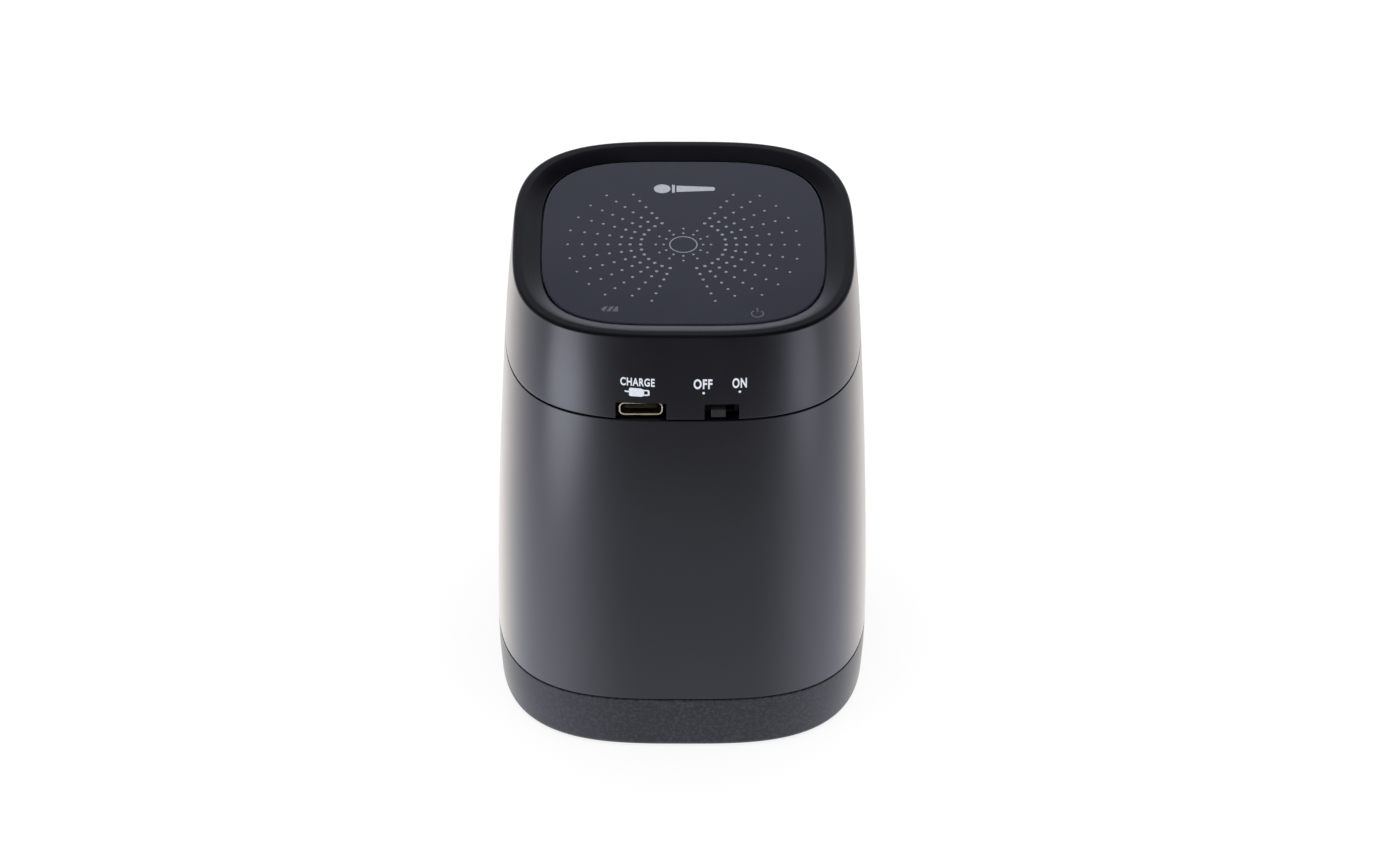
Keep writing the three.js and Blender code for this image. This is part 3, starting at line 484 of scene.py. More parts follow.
# Stainless strip, stamped and nickel plated: bright, a little warm, with fine lines from rolling.
PLATED_STRIP = Finish(
    "nickel_plated_strip",
    "#f3ead8",
    0.42,
    metallic=1.0,
    grains=(
        Grain(0.3, depth=0.0015, gloss=0.06, stretch=(0.1, 1.0, 1.0)),
        Grain(1.5, shade="#e6dac2", cover=0.35),
    ),
)
# The strip's sheared front edge, with short dull scars from the shear; its pale half-matte finish is a
# painted highlight.
SHEARED_EDGE_WITH_PAINTED_HIGHLIGHT = Finish(
    "sheared_edge_painted_highlight",
    "#f4e7cf",
    0.4,
    metallic=0.5,
    grains=(Grain(0.25, depth=0.002, gloss=0.08), Grain(0.8, shade="#e0d0b4", cover=0.35)),
)
# Zinc plated screw steel: greyer and rougher than the strip, with tool marks on the heads.
SCREW_STEEL = Finish(
    "zinc_plated_screw_steel",
    "#8f9297",
    0.34,
    metallic=1.0,
    grains=(Grain(0.2, depth=0.003, gloss=0.08), Grain(0.9, shade="#7c8086", cover=0.4)),
)
# Hard gold on the inlet's contacts: deep yellow and smooth.
CONTACT_GOLD = Finish(
    "hard_gold_plating",
    "#d8b25c",
    0.22,
    metallic=1.0,
    grains=(Grain(0.2, depth=0.001, gloss=0.05), Grain(0.7, shade="#cfa449", cover=0.4)),
)
# Aluminium laminate round the cell: a soft foil with shallow wrinkles.
CELL_FOIL = Finish(
    "laminated_cell_foil",
    "#b9bdc1",
    0.36,
    metallic=1.0,
    grains=(Grain(3.5, depth=0.06, gloss=0.06), Grain(0.3, depth=0.003, shade="#aeb2b7", cover=0.4)),
)
# Silicone rubber round the wires: red, dull and slightly dusty.
WIRE_JACKET = DustyFinish(
    "silicone_wire_jacket",
    "#8e1d1a",
    0.5,
    ior=1.41,
    grains=(Grain(0.3, depth=0.006), Grain(2.5, shade="#7c1815", cover=0.4)),
    nap=0.1,
)
# White pad-printing ink on the wall: an even, nearly flat film with soft edges.
WALL_INK = Finish(
    "white_pad_printing_ink",
    "#f0f5ff",
    0.5,
    grains=(Grain(0.12, depth=0.002), Grain(0.5, shade="#e2e9f7", cover=0.35, edge=0.4)),
)
# Grey screen-printing ink behind the panel's film, seen through its tint.
PANEL_INK = panel_ink("grey_screen_printing_ink", "#9a9da5", "#8c8f98")
# The same ink mixed paler, for the sign at the back of the panel.
PALE_INK = panel_ink("pale_grey_screen_printing_ink", "#c3c7d0", "#b4b8c3")
# The same ink printed thinner, for the symbols that a lamp behind the panel lights up.
FAINT_INK = panel_ink("thin_grey_screen_printing_ink", "#686b73", "#5f626a")

# The finish of each solid that is carried over as it is. A name that ends in _ stands for numbered solids.
CARRIED: dict[str, Finish] = {
    "panel_tape": FOAM_TAPE,
    "light_guide": MILKY_ACRYLIC,
    "touch_board": GREEN_BOARD,
    "switch_case": INNER_NYLON,
    "main_board": BLACK_BOARD,
    "buzzer": INNER_NYLON,
    "battery_cell": CELL_FOIL,
    "battery_tray": INNER_NYLON,
    "battery_lead": WIRE_JACKET,
    "chassis": INNER_NYLON,
    "chamber_frame": INNER_NYLON,
    "led_harness": WIRE_JACKET,
    "ceiling_window": QUARTZ,
    "ceiling_led_board": WHITE_BOARD,
    "ceiling_led_": LAMP_CERAMIC,
    "side_led_board_": WHITE_BOARD,
    "side_led_": LAMP_CERAMIC,
    "side_window_": QUARTZ,
    "base_ring": INNER_NYLON,
    "chassis_screw_": SCREW_STEEL,
    "base_screw_": SCREW_STEEL,
    "board_screw_": SCREW_STEEL,
    "head_screw_": SCREW_STEEL,
}


# Shapes


def between(start: float, end: float, share: float) -> float:
    """Returns the value at a share of the way from one value to another."""
    return start + (end - start) * share


def arc(centre: Flat, radii: Flat, start: float, end: float, steps: int) -> list[Flat]:
    """Follows a round arc, or an oval one.

    Args:
        centre: Its middle.
        radii: Its half-width and its half-height.
        start: Angle of its first point, in degrees.
        end: Angle of its last point, in degrees.
        steps: Facets between them.

    Returns:
        The points in order.
    """
    turns = [math.radians(between(start, end, step / steps)) for step in range(steps + 1)]
    return [(centre[0] + radii[0] * math.cos(turn), centre[1] + radii[1] * math.sin(turn)) for turn in turns]


def disc(centre: Flat, radii: Flat, points: int = 24) -> list[Flat]:
    """Draws a whole circle or oval with so many points; see arc."""
    return arc(centre, radii, 0, 360 * (points - 1) / points, points - 1)


def mirrored(across: float, along: float) -> list[Flat]:
    """Repeats a place at all four corners, the back two first."""
    return [(across, along), (-across, along), (across, -along), (-across, -along)]


@dataclass(frozen=True)
class Station:
    """One point of a profile.

    Attributes:
        half: Half-width, or radius, there.
        height: Height there.
        power: Squareness there; 2 is a circle.
        ease: How far along both edges the corner there is rounded.
    """

    half: float
    height: float
    power: float = 2.0
    ease: float = 0.0

    def towards(self, other: "Station", distance: float) -> "Station":
        """Finds a station on the straight edge to another.

        Args:
            other: Where the edge ends.
            distance: How far along it.

        Returns:
            The station there, with no rounding.
        """
        share = distance / math.hypot(other.half - self.half, other.height - self.height)
        return Station(
            between(self.half, other.half, share),
            between(self.height, other.height, share),
            between(self.power, other.power, share),
        )


def eased(profile: Sequence[Station], steps: int = 5, support: float = 1.25) -> list[Station]:
    """Rounds the corners of a closed profile that ask for it.

    Args:
        profile: The corners in order.
        steps: Facets on each rounded corner.
        support: Where the close stations beside a rounding stand, as a multiple of its reach.

    Returns:
        The stations with each rounding, and with one close support on either side of it.
    """
    made: list[Station] = []
    for index, corner in enumerate(profile):
        if not corner.ease:
            made.append(corner)
            continue
        before, after = profile[index - 1], profile[(index + 1) % len(profile)]
        start, end = corner.towards(before, corner.ease), corner.towards(after, corner.ease)
        made.append(corner.towards(before, corner.ease * support))
        for step in range(steps + 1):
            turn = step / steps
            near, middle, far = (1 - turn) ** 2, 2 * turn * (1 - turn), turn**2
            made.append(
                Station(
                    near * start.half + middle * corner.half + far * end.half,
                    near * start.height + middle * corner.height + far * end.height,
                    corner.power,
                )
            )
        made.append(corner.towards(after, corner.ease * support))
    return made


# Meshes


def linked(name: str, data: bpy.types.ID) -> Solid:
    """Puts an object at the origin of the scene and returns it."""
    made = bpy.data.objects.new(name, data)
    bpy.context.scene.collection.objects.link(made)
    return made


def smoothed(mesh: bpy.types.Mesh, sharp: float = CRISP) -> bpy.types.Mesh:
    """Shades a mesh smoothly between its crisp edges and returns it."""
    mesh.shade_smooth()
    mesh.set_sharp_from_angle(angle=math.radians(sharp))
    return mesh


def final_mesh(target: Solid) -> bpy.types.Mesh:
    """Makes a plain mesh of what an object's modifiers or its lettering show."""
    bpy.context.view_layer.update()
    seen = target.evaluated_get(bpy.context.evaluated_depsgraph_get())
    return bpy.data.meshes.new_from_object(seen)


def settle(target: Solid) -> Solid:
    """Turns an object's modifiers into plain mesh and returns the object."""
    mesh = final_mesh(target)
    target.modifiers.clear()
    target.data = mesh
    return target


def mesh_object(name: str, build: bmesh.types.BMesh, sharp: float = CRISP) -> Solid:
    """Turns millimetre geometry into a smooth-shaded object in metres.

    Args:
        name: The object's name.
        build: The geometry, which is used up.
        sharp: Edges sharper than this many degrees stay crisp.

    Returns:
        The object, at the origin.
    """
    bmesh.ops.recalc_face_normals(build, faces=build.faces)
    bmesh.ops.scale(build, vec=(MM, MM, MM), verts=build.verts)
    mesh = bpy.data.meshes.new(name)
    build.to_mesh(mesh)
    build.free()
    return linked(name, smoothed(mesh, sharp))


def rings_solid(name: str, rings: Sequence[Sequence[Place]], closed: bool, sharp: float = CRISP) -> Solid:
    """Joins rings of points into one closed solid.

    Args:
        name: The object's name.
        rings: Rings with one point each at a pole, or else all with the same count.
        closed: Whether the last ring joins the first, as in a tube.
        sharp: Edges sharper than this many degrees stay crisp.

    Returns:
        The solid.
    """
    build = bmesh.new()
    made = [[build.verts.new(point) for point in ring] for ring in rings]
    pairs = list(zip(made, made[1:] + made[:1])) if closed else list(zip(made, made[1:]))
    for lower, upper in pairs:
        count = max(len(lower), len(upper))
        if count == 1:
            continue
        for index in range(count):
            following = (index + 1) % count
            corners = [lower[index % len(lower)], lower[following % len(lower)]]
            corners += [upper[following % len(upper)], upper[index % len(upper)]]
            build.faces.new(list(dict.fromkeys(corners)))
    if not closed:
        for ring in (made[0], made[-1]):
            if len(ring) > 1:
                build.faces.new(ring)
    return mesh_object(name, build, sharp)


def turned(name: str, profile: Sequence[Station], steps: int = 192, centre: Flat = (0.0, 0.0)) -> Solid:
    """Carries a closed profile round a squircle or a circle.

    Args:
        name: The object's name.
        profile: The stations, with those on the axis first and last.
        steps: Points round each ring.
        centre: Where the axis stands.

    Returns:
        The solid.
    """
    rings: list[list[Place]] = []
    for station in eased(profile):
        if not station.half:
            rings.append([(*centre, station.height)])
            continue
        ring = []
        for step in range(steps):
            angle = math.tau * step / steps
            across, along = math.cos(angle), math.sin(angle)
            powered = abs(across) ** station.power + abs(along) ** station.power
            reach = station.half * powered ** (-1 / station.power)
            ring.append((centre[0] + reach * across, centre[1] + reach * along, station.height))
        rings.append(ring)
    return rings_solid(name, rings, closed=len(rings[0]) > 1)


def post(
    name: str,
    centre: Flat,
    radius: float,
    span: Flat,
    steps: int = 24,
    ease: float = 0.0,
    power: float = 2.0,
) -> Solid:
    """Builds an upright post.

    Args:
        name: The object's name.
        centre: Where it stands.
        radius: Its radius, or half its width if it is square.
        span: The heights of its ends.
        steps: Facets round it.
        ease: How far its lower edge is rounded.
        power: Its squareness.

    Returns:
        The post.
    """
    low, high = span
    rim = [Station(radius, low, power, ease), Station(radius, high, power)]
    return turned(name, [Station(0, low, power), *rim, Station(0, high, power)], steps, centre)


def rounded_block(name: str, low: Place, high: Place, ease: float, segments: int = 3) -> Solid:
    """Builds a block with rounded edges.

    Args:
        name: The object's name.
        low: Its lowest corner.
        high: Its highest corner.
        ease: Radius of its edges.
        segments: Facets on each edge.

    Returns:
        The block.
    """
    build = bmesh.new()
    bmesh.ops.create_cube(build, size=1.0)
    middle = [(start + end) / 2 for start, end in zip(low, high)]
    sizes = [end - start for start, end in zip(low, high)]
    for vertex in build.verts:
        vertex.co = Vector([centre + share * size for centre, share, size in zip(middle, vertex.co, sizes)])
    bmesh.ops.bevel(
        build,
        geom=list(build.edges),
        offset=ease,
        segments=segments,
        profile=0.5,
        affect="EDGES",
        clamp_overlap=True,
    )
    return mesh_object(name, build)


def prism(name: str, outline: Shape, low: float, high: float, lift: Lift) -> Solid:
    """Raises a flat outline into a solid.

    Args:
        name: The object's name.
        outline: Corners of the outline in order.
        low: Where it starts.
        high: Where it ends.
        lift: Turns a corner and a depth into a point in space.

    Returns:
        The solid.
    """
    rings = [[lift(across, along, depth) for across, along in outline] for depth in (low, high)]
    return rings_solid(name, rings, closed=False, sharp=30.0)


def seal(mesh: bpy.types.Mesh) -> None:
    """Merges the hair-thin slivers that a cut leaves in a mesh and closes any facet that it dropped."""
    build = bmesh.new()
    build.from_mesh(mesh)
    bmesh.ops.remove_doubles(build, verts=build.verts, dist=SLIVER)
    bmesh.ops.holes_fill(build, edges=[edge for edge in build.edges if edge.is_boundary], sides=0)
    build.to_mesh(mesh)
    build.free()


def carve(target: Solid, tools: Iterable[Solid], how: Carve, name: str | None = None) -> Solid:
    """Joins solids to another or cuts them out of it, and uses them up.

    Args:
        target: The solid that changes.
        tools: The solids that are joined or cut.
        how: What they do.
        name: The changed solid's name, if it gets a new one.

    Returns:
        The changed solid.
    """
    used = list(tools)
    for tool in used:
        change = target.modifiers.new("carve", "BOOLEAN")
        change.operation = how.value
        change.solver = "EXACT"
        change.object = tool
    settle(target)
    seal(target.data)
    smoothed(target.data)
    for tool in used:
        bpy.data.objects.remove(tool)
    target.name = name or target.name
    return target


def merged(name: str, solids: Iterable[Solid]) -> Solid:
    """Puts several meshes into one object, and uses them up.

    Args:
        name: The new object's name.
        solids: The objects, all in place.

    Returns:
        The object that holds them all.
    """
    build = bmesh.new()
    for solid in solids:
        build.from_mesh(solid.data)
        bpy.data.objects.remove(solid)
    mesh = bpy.data.meshes.new(name)
    build.to_mesh(mesh)
    build.free()
    return linked(name, smoothed(mesh))


def printed(name: str, shapes: Sequence[Shape], ink: float, lift: Lift) -> Solid:
    """Prints flat shapes.

    Args:
        name: The object's name.
        shapes: The corners of each shape in order.
        ink: Thickness of the ink.
        lift: Turns a corner and a depth into a point in space.

    Returns:
        The prints as one object.
    """
    made = [prism(f"{name}_{number}", shape, 0.0, ink, lift) for number, shape in enumerate(shapes)]
    return merged(name, made)


# Repeats that Geometry Nodes lay out


@dataclass
class Layout(ABC):
    """A Geometry Nodes tree that lays out copies of one small shape.

    Attributes:
        name: Name of the tree and of the objects that it makes.
        sizes: The tree's named inputs with their values in metres, radians or plain numbers.
    """

    name: str
    sizes: dict[str, float | int]

    @abstractmethod
    def lay_out(self, tree: Tree, given: Node) -> Socket:
        """Places the copies.

        Args:
            tree: The tree.
            given: The node that holds the named inputs.

        Returns:
            The output that holds the instances.
        """

    def tree(self) -> Tree:
        """Builds the tree once, with one input for each size and one for the material."""
        known = bpy.data.node_groups.get(self.name)
        if known:
            return known
        made = bpy.data.node_groups.new(self.name, "GeometryNodeTree")
        for label, value in self.sizes.items():
            kind = "NodeSocketInt" if isinstance(value, int) else "NodeSocketFloat"
            made.interface.new_socket(label, in_out="INPUT", socket_type=kind)
        made.interface.new_socket("Material", in_out="INPUT", socket_type="NodeSocketMaterial")
        made.interface.new_socket("Geometry", in_out="OUTPUT", socket_type="NodeSocketGeometry")
        given = add_node(made, "NodeGroupInput")
        real = add_node(made, "GeometryNodeRealizeInstances", {"Geometry": self.lay_out(made, given)})
        finished = add_node(
            made,
            "GeometryNodeSetMaterial",
            {"Geometry": real.outputs["Geometry"], "Material": given.outputs["Material"]},
        )
        add_node(made, "NodeGroupOutput", {"Geometry": finished.outputs["Geometry"]})
        return made

    def solid(self, finish: Finish) -> Solid:
        """Runs the tree and keeps its result as a plain mesh.

        Args:
            finish: What the copies are made of.

        Returns:
            The copies as one object.
        """
        tree = self.tree()
        made = linked(self.name, bpy.data.meshes.new(self.name))
        modifier = made.modifiers.new("layout", "NODES")
        modifier.node_group = tree
        places = {item.name: item.identifier for item in tree.interface.items_tree if item.in_out == "INPUT"}
        for label, value in self.sizes.items():
            modifier[places[label]] = value
        modifier[places["Material"]] = finish.material()
        return settle(made)


@dataclass
class DotArc(Layout):
    """Printed discs along an arc: Dots, Radius, First angle, Angle step, Dot radius and Thickness."""

    def lay_out(self, tree: Tree, given: Node) -> Socket:
        """Turns each point's number into its angle and puts a disc there."""
        sizes = given.outputs
        start = add_node(tree, "GeometryNodeMeshLine", {"Count": sizes["Dots"]})
        number = add_node(tree, "GeometryNodeInputIndex").outputs[0]
        turn = add_node(
            tree,
            "ShaderNodeMath",
            {0: number, 1: sizes["Angle step"], 2: sizes["First angle"]},
            operation="MULTIPLY_ADD",
        ).outputs[0]
        across, along = (
            add_node(tree, "ShaderNodeMath", {0: turn}, operation=operation).outputs[0]
            for operation in ("COSINE", "SINE")
        )
        direction = add_node(tree, "ShaderNodeCombineXYZ", {"X": across, "Y": along}).outputs[0]
        place = add_node(
            tree, "ShaderNodeVectorMath", {0: direction, "Scale": sizes["Radius"]}, operation="SCALE"
        ).outputs[0]
        moved = add_node(
            tree, "GeometryNodeSetPosition", {"Geometry": start.outputs["Mesh"], "Position": place}
        ).outputs["Geometry"]
        dot = add_node(
            tree,
            "GeometryNodeMeshCylinder",
            {"Vertices": 16, "Radius": sizes["Dot radius"], "Depth": sizes["Thickness"]},
            fill_type="NGON",
        ).outputs["Mesh"]
        placed = add_node(tree, "GeometryNodeInstanceOnPoints", {"Points": moved, "Instance": dot})
        return placed.outputs["Instances"]


@dataclass
class ContactRow(Layout):
    """A row of flat contacts: inputs Contacts, Pitch, Width, Length and Thickness."""

    def lay_out(self, tree: Tree, given: Node) -> Socket:
        """Puts a thin block at each step of a line."""
        sizes = given.outputs
        step = add_node(tree, "ShaderNodeCombineXYZ", {"X": sizes["Pitch"]}).outputs[0]
        line = add_node(
            tree, "GeometryNodeMeshLine", {"Count": sizes["Contacts"], "Offset": step}
        ).outputs["Mesh"]
        size = add_node(
            tree,
            "ShaderNodeCombineXYZ",
            {"X": sizes["Width"], "Y": sizes["Length"], "Z": sizes["Thickness"]},
        ).outputs[0]
        contact = add_node(tree, "GeometryNodeMeshCube", {"Size": size}).outputs["Mesh"]
        placed = add_node(tree, "GeometryNodeInstanceOnPoints", {"Points": line, "Instance": contact})
        return placed.outputs["Instances"]


# Pieces


@dataclass(frozen=True)
class Piece:
    """A finished solid and what it stands for.

    Attributes:
        solid: The object.
        finish: Its finish.
        slot: The record's slot that it is given; it is not used.
        stands_for: The CAD nodes that it replaces.
        body: The body that it rides on.
    """

    solid: Solid
    finish: Finish
    slot: Slot
    stands_for: tuple[str, ...] = ()
    body: Body = Body.HOUSING

    def hand_over(self) -> None:
        """Dresses the solid and ties it to the frame."""
        self.solid.data.materials.clear()
        self.solid.data.materials.append(self.finish.material())
        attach(self.solid, self.body.value)
        if self.stands_for:
            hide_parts(*self.stands_for)
        LOG.info("%s: %s, %d faces", self.solid.name, self.finish.name, len(self.solid.data.polygons))


class SubAssembly(ABC):
    """A group of pieces that one class builds."""

    @abstractmethod
    def pieces(self) -> list[Piece]:
        """Builds the pieces."""

    def build(self) -> None:
        """Builds the pieces and hands each over to the frame."""
        for piece in self.pieces():
            piece.hand_over()


@dataclass(frozen=True)
class Outline:
    """The housing's outline: a squircle whose half-width changes with height.

    Attributes:
        belt_half: Half-width at the belt, where the housing is widest.
        belt_height: Height of the belt, which is the boot's upper edge.
        seam_height: Height of the seam between the body and the head.
        overall_height: Height of the rim.
        power: Squareness up to the seam.
        taper_share: Share of the half-width that the taper takes off by the rim.
        taper_power: How late the taper sets in.
        head_lean: How much more the head leans in by the rim.
        lean_power: How late that sets in.
        head_squaring: How much squarer the rim is.
    """

    belt_half: float = 39.46
    belt_height: float = 13.4
    seam_height: float = 85.106
    overall_height: float = 104.806
    power: float = 3.17
    taper_share: float = 0.098
    taper_power: float = 1.65
    head_lean: float = 0.49
    lean_power: float = 1.5
    head_squaring: float = 0.12

    def lean_at(self, height: float) -> float:
        """Returns how far up the head a height is, as a share."""
        return max(0.0, (height - self.seam_height) / (self.overall_height - self.seam_height))

    def half_at(self, height: float) -> float:
        """Returns half the width across the flats at a height."""
        up = max(0.0, (height - self.belt_height) / (self.overall_height - self.belt_height))
        taper = 1 - self.taper_share * up**self.taper_power
        return self.belt_half * taper - self.head_lean * self.lean_at(height) ** self.lean_power

    def power_at(self, height: float) -> float:
        """Returns the squareness at a height, which grows a little towards the rim."""
        return self.power + self.head_squaring * self.lean_at(height)

    def front_wall(self, across: float, height: float) -> float:
        """Finds how far forward the front wall stands.

        Args:
            across: Place along X.
            height: Height above the bottom.

        Returns:
            The wall's Y there.
        """
        half, power = self.half_at(height), self.power_at(height)
        return -((half**power - abs(across) ** power) ** (1 / power))

    def wall(self, low: float, high: float, steps: int, inset: float = 0.0) -> list[Station]:
        """Follows the wall from one height to another.

        Args:
            low: Where it starts.
            high: Where it ends.
            steps: Facets between.
            inset: How far inside the outer face.

        Returns:
            The stations.
        """
        heights = [between(low, high, step / steps) for step in range(steps + 1)]
        return [Station(self.half_at(height) - inset, height, self.power_at(height)) for height in heights]


@dataclass
class BodySleeve(SubAssembly):
    """The lower housing, whose skirt goes down inside the boot and whose columns take the screws.

    Attributes:
        column_place: The columns' distance from the middle along X and along Y.
        rib_edge: Distance from the axis and height of the rib's outer corners, which end in the wall.
        past: How far a hole's cutter reaches past the column.
    """

    outline: Outline
    bottom: float = 2.5
    wall: float = 2.0
    seam: float = 0.3
    lip_ease: float = 0.22
    skirt_outer: float = 37.11
    skirt_inner: float = 35.41
    skirt_ease: float = 0.3
    column_place: float = 24.678
    column_radius: float = 2.9
    column_span: Flat = (5.2, 80.306)
    rib_width: float = 1.6
    rib_edge: Shape = ((41.2, 5.2), (41.2, 12.0), (43.3, 16.0), (43.1, 40.0), (42.2, 62.0), (41.2, 80.306))
    pilot_radius: float = 1.3
    pilot_depth: float = 10.0
    past: float = 1.0

    def shell(self) -> Solid:
        """Builds the open tube with its stepped skirt."""
        power = self.outline.power
        shoulder = self.outline.belt_height + self.seam / 2
        top = self.outline.seam_height - self.seam / 2
        first, *outer, last = self.outline.wall(shoulder, top, 36)
        profile = [
            Station(self.skirt_inner, self.bottom, power),
            Station(self.skirt_outer, self.bottom, power, self.skirt_ease),
            Station(self.skirt_outer, shoulder, power),
            replace(first, ease=self.lip_ease),
            *outer,
            replace(last, ease=self.lip_ease),
            *self.outline.wall(top, shoulder + self.wall, 12, self.wall),
            Station(self.skirt_inner, shoulder - self.wall, power),
        ]
        return turned("body_sleeve_shell", profile)

    def column(self, side: int) -> Solid:
        """Builds the screw column in corner 0 to 3, with the rib that ties it to the wall."""
        turn = Matrix.Rotation(math.radians(45 + 90 * side), 4, "Z")
        distance = self.column_place * math.sqrt(2)
        low, high = self.column_span
        rib = prism(
            f"column_rib_{side}",
            [(distance, low), *self.rib_edge, (distance, high)],
            -self.rib_width / 2,
            self.rib_width / 2,
            lambda out, up, depth: tuple(turn @ Vector((out, depth, up))),
        )
        centre = turn @ Vector((distance, 0, 0))
        column = post(f"column_post_{side}", (centre.x, centre.y), self.column_radius, self.column_span, 32)
        return carve(column, [rib], Carve.JOIN)

    def pilots(self, side: int) -> list[Solid]:
        """Builds what opens the two blind holes of the column in corner 0 to 3."""
        angle = math.radians(45 + 90 * side)
        distance = self.column_place * math.sqrt(2)
        centre = (distance * math.cos(angle), distance * math.sin(angle))
        low, high = self.column_span
        spans = [(low - self.past, low + self.pilot_depth), (high - self.pilot_depth, high + self.past)]
        return [
            post(f"pilot_{side}_{number}", centre, self.pilot_radius, span, 20)
            for number, span in enumerate(spans)
        ]

    def pieces(self) -> list[Piece]:
        """Builds the sleeve."""
        sleeve = carve(self.shell(), [self.column(side) for side in range(4)], Carve.JOIN)
        holes = [hole for side in range(4) for hole in self.pilots(side)]
        carve(sleeve, holes, Carve.CUT, "satin_body_sleeve")
        return [Piece(sleeve, SATIN_SHELL, Slot.SHELL, ("body_sleeve",))]


@dataclass
class HeadCover(SubAssembly):
    """The upper housing: a raised rim round the panel's recess, and two notches in the lower front edge.

    Attributes:
        rim_edge: Half-width and height of the rounding on the rim's outer edge.
        rim_land: Distance from the rim's outer face to the end of its flat land.
        rim_width: Distance from the rim's outer face to the recess.
        slope_bow: Share of the inner slope's drop that is even; the rest grows towards the recess.
        slope_shares: Where the stations on the inner slope stand.
        lip_profile: Distance out from the lip's outer face, height over the seam and rounding of each corner.
        lip_gap: Span along X and Y, from the middle out, in which a corner has no lip.
        outside: A place along Y in front of the wall, from where the notches are cut.
        inlet_notch: Left side, right side and top of the notch; the switch's has the same.
        past: How far a cutter reaches past the face that it opens.
    """

    outline: Outline
    seam: float = 0.3
    wall: float = 2.0
    lip_ease: float = 0.22
    rim_edge: Flat = (0.6, 0.6)
    rim_land: float = 1.924
    rim_width: float = 5.66
    rim_support: float = 0.3
    slope_start: float = 103.506
    slope_bow: float = 0.45
    slope_shares: tuple[float, ...] = (0.04, 0.1, 0.2, 0.35, 0.5, 0.65, 0.8, 0.92)
    slope_ease: float = 0.12
    recess_top: float = 101.806
    recess_bottom: float = 100.006
    recess_wall: float = 1.76
    core_top: float = 102.206
    panel_power: float = 3.7
    lip_clearance: float = 0.3
    lip_profile: tuple[Place, ...] = (
        (-1.2, -2.4, 0.0),
        (0.0, -2.4, 0.25),
        (0.0, 0.0, 0.0),
        (1.3, 0.3, 0.0),
        (1.0, 2.4, 0.0),
        (-1.2, 1.2, 0.0),
    )
    lip_gap: Flat = (10.0, 45.0)
    lip_gap_reach: float = 4.0
    cutter_ease: float = 0.4
    outside: float = -45.0
    notch_low: float = 81.7
    notch_back: float = -32.97
    notch_ease: float = 0.35
    inlet_notch: Place = (-13.75, -3.45, 89.106)
    switch_notch: Place = (4.3, 11.3, 88.906)
    boss_radius: float = 3.0
    boss_bottom: float = 91.356
    boss_place: Flat = (25.498, 16.002)
    post_ease: float = 0.2
    stake_radius: float = 0.8
    stake_bottom: float = 98.206
    stakes: tuple[Flat, ...] = ((19.2, 22.4), (-19.2, 22.4), (19.2, -25.89), (-19.2, -25.89))
    window_half: float = 21.5
    icon_window: Flat = (18.503, -27.115)
    screw_hole: float = 1.3
    screw_seat: float = 2.3
    seat_depth: float = 1.9
    past: float = 1.0

    def shell(self) -> Solid:
        """Builds the cover with its rim, its recess and its cavity."""
        outline, top, panel = self.outline, self.outline.overall_height, self.panel_power
        bottom, edge_low = outline.seam_height + self.seam / 2, top - self.rim_edge[1]
        power = outline.power_at(top)
        inner_corner = outline.half_at(edge_low) - self.rim_edge[0]
        land_end = outline.half_at(top) - self.rim_land
        recess_half = outline.half_at(top) - self.rim_width
        first, *outer = outline.wall(bottom, edge_low, 16)
        rim = [Station(*point, power) for point in arc((inner_corner, edge_low), self.rim_edge, 15, 90, 5)]
        slope = [
            Station(
                between(land_end, recess_half, share),
                top - (top - self.slope_start) * (self.slope_bow * share + (1 - self.slope_bow) * share**2),
                between(power, panel, share),
            )
            for share in self.slope_shares
        ]
        ceiling = recess_half + self.recess_wall
        profile = [
            Station(0, self.recess_bottom, panel),
            Station(ceiling, self.recess_bottom, panel),
            Station(ceiling, self.core_top, panel),
            *outline.wall(self.core_top, bottom, 8, self.wall),
            replace(first, ease=self.lip_ease),
            *outer,
            *rim,
            Station(inner_corner - self.rim_support, top, power),
            Station(land_end + self.rim_support, top, power),
            Station(land_end, top, power),
            *slope,
            Station(recess_half, self.slope_start, panel, self.slope_ease),
            Station(recess_half, self.recess_top, panel),
            Station(0, self.recess_top, panel),
        ]
        return turned("head_cover_shell", profile)

    def lip(self) -> Solid:
        """Builds the lip that drops inside the sleeve along the four flats."""
        bottom = self.outline.seam_height + self.seam / 2
        outer = self.outline.half_at(bottom) - self.wall - self.lip_clearance
        profile = [
            Station(outer + out, bottom + up, self.outline.power, ease) for out, up, ease in self.lip_profile
        ]
        near, far = self.lip_gap
        low, high = bottom - self.lip_gap_reach, bottom + self.lip_gap_reach
        gaps = [
            rounded_block(f"lip_gap_{number}", (left, front, low), (right, back, high), self.cutter_ease)
            for number, ((left, right), (front, back)) in enumerate(
                product(((near, far), (-far, -near)), repeat=2)
            )
        ]
        return carve(turned("head_lip", profile), gaps, Carve.CUT)

    def notches(self) -> list[Solid]:
        """Builds the two blocks that open the lower front edge."""
        return [
            rounded_block(
                f"notch_{number}",
                (left, self.outside, self.notch_low),
                (right, self.notch_back, top),
                self.notch_ease,
            )
            for number, (left, right, top) in enumerate((self.inlet_notch, self.switch_notch))
        ]

    def posts(self) -> list[Solid]:
        """Builds the bosses for the head's screws and the stakes that hold the touch board."""
        end = (self.recess_top + self.recess_bottom) / 2
        kinds = [(place, self.boss_radius, self.boss_bottom) for place in mirrored(*self.boss_place)]
        kinds += [(place, self.stake_radius, self.stake_bottom) for place in self.stakes]
        return [
            post(f"head_post_{number}", place, radius, (low, end), ease=self.post_ease)
            for number, (place, radius, low) in enumerate(kinds)
        ]

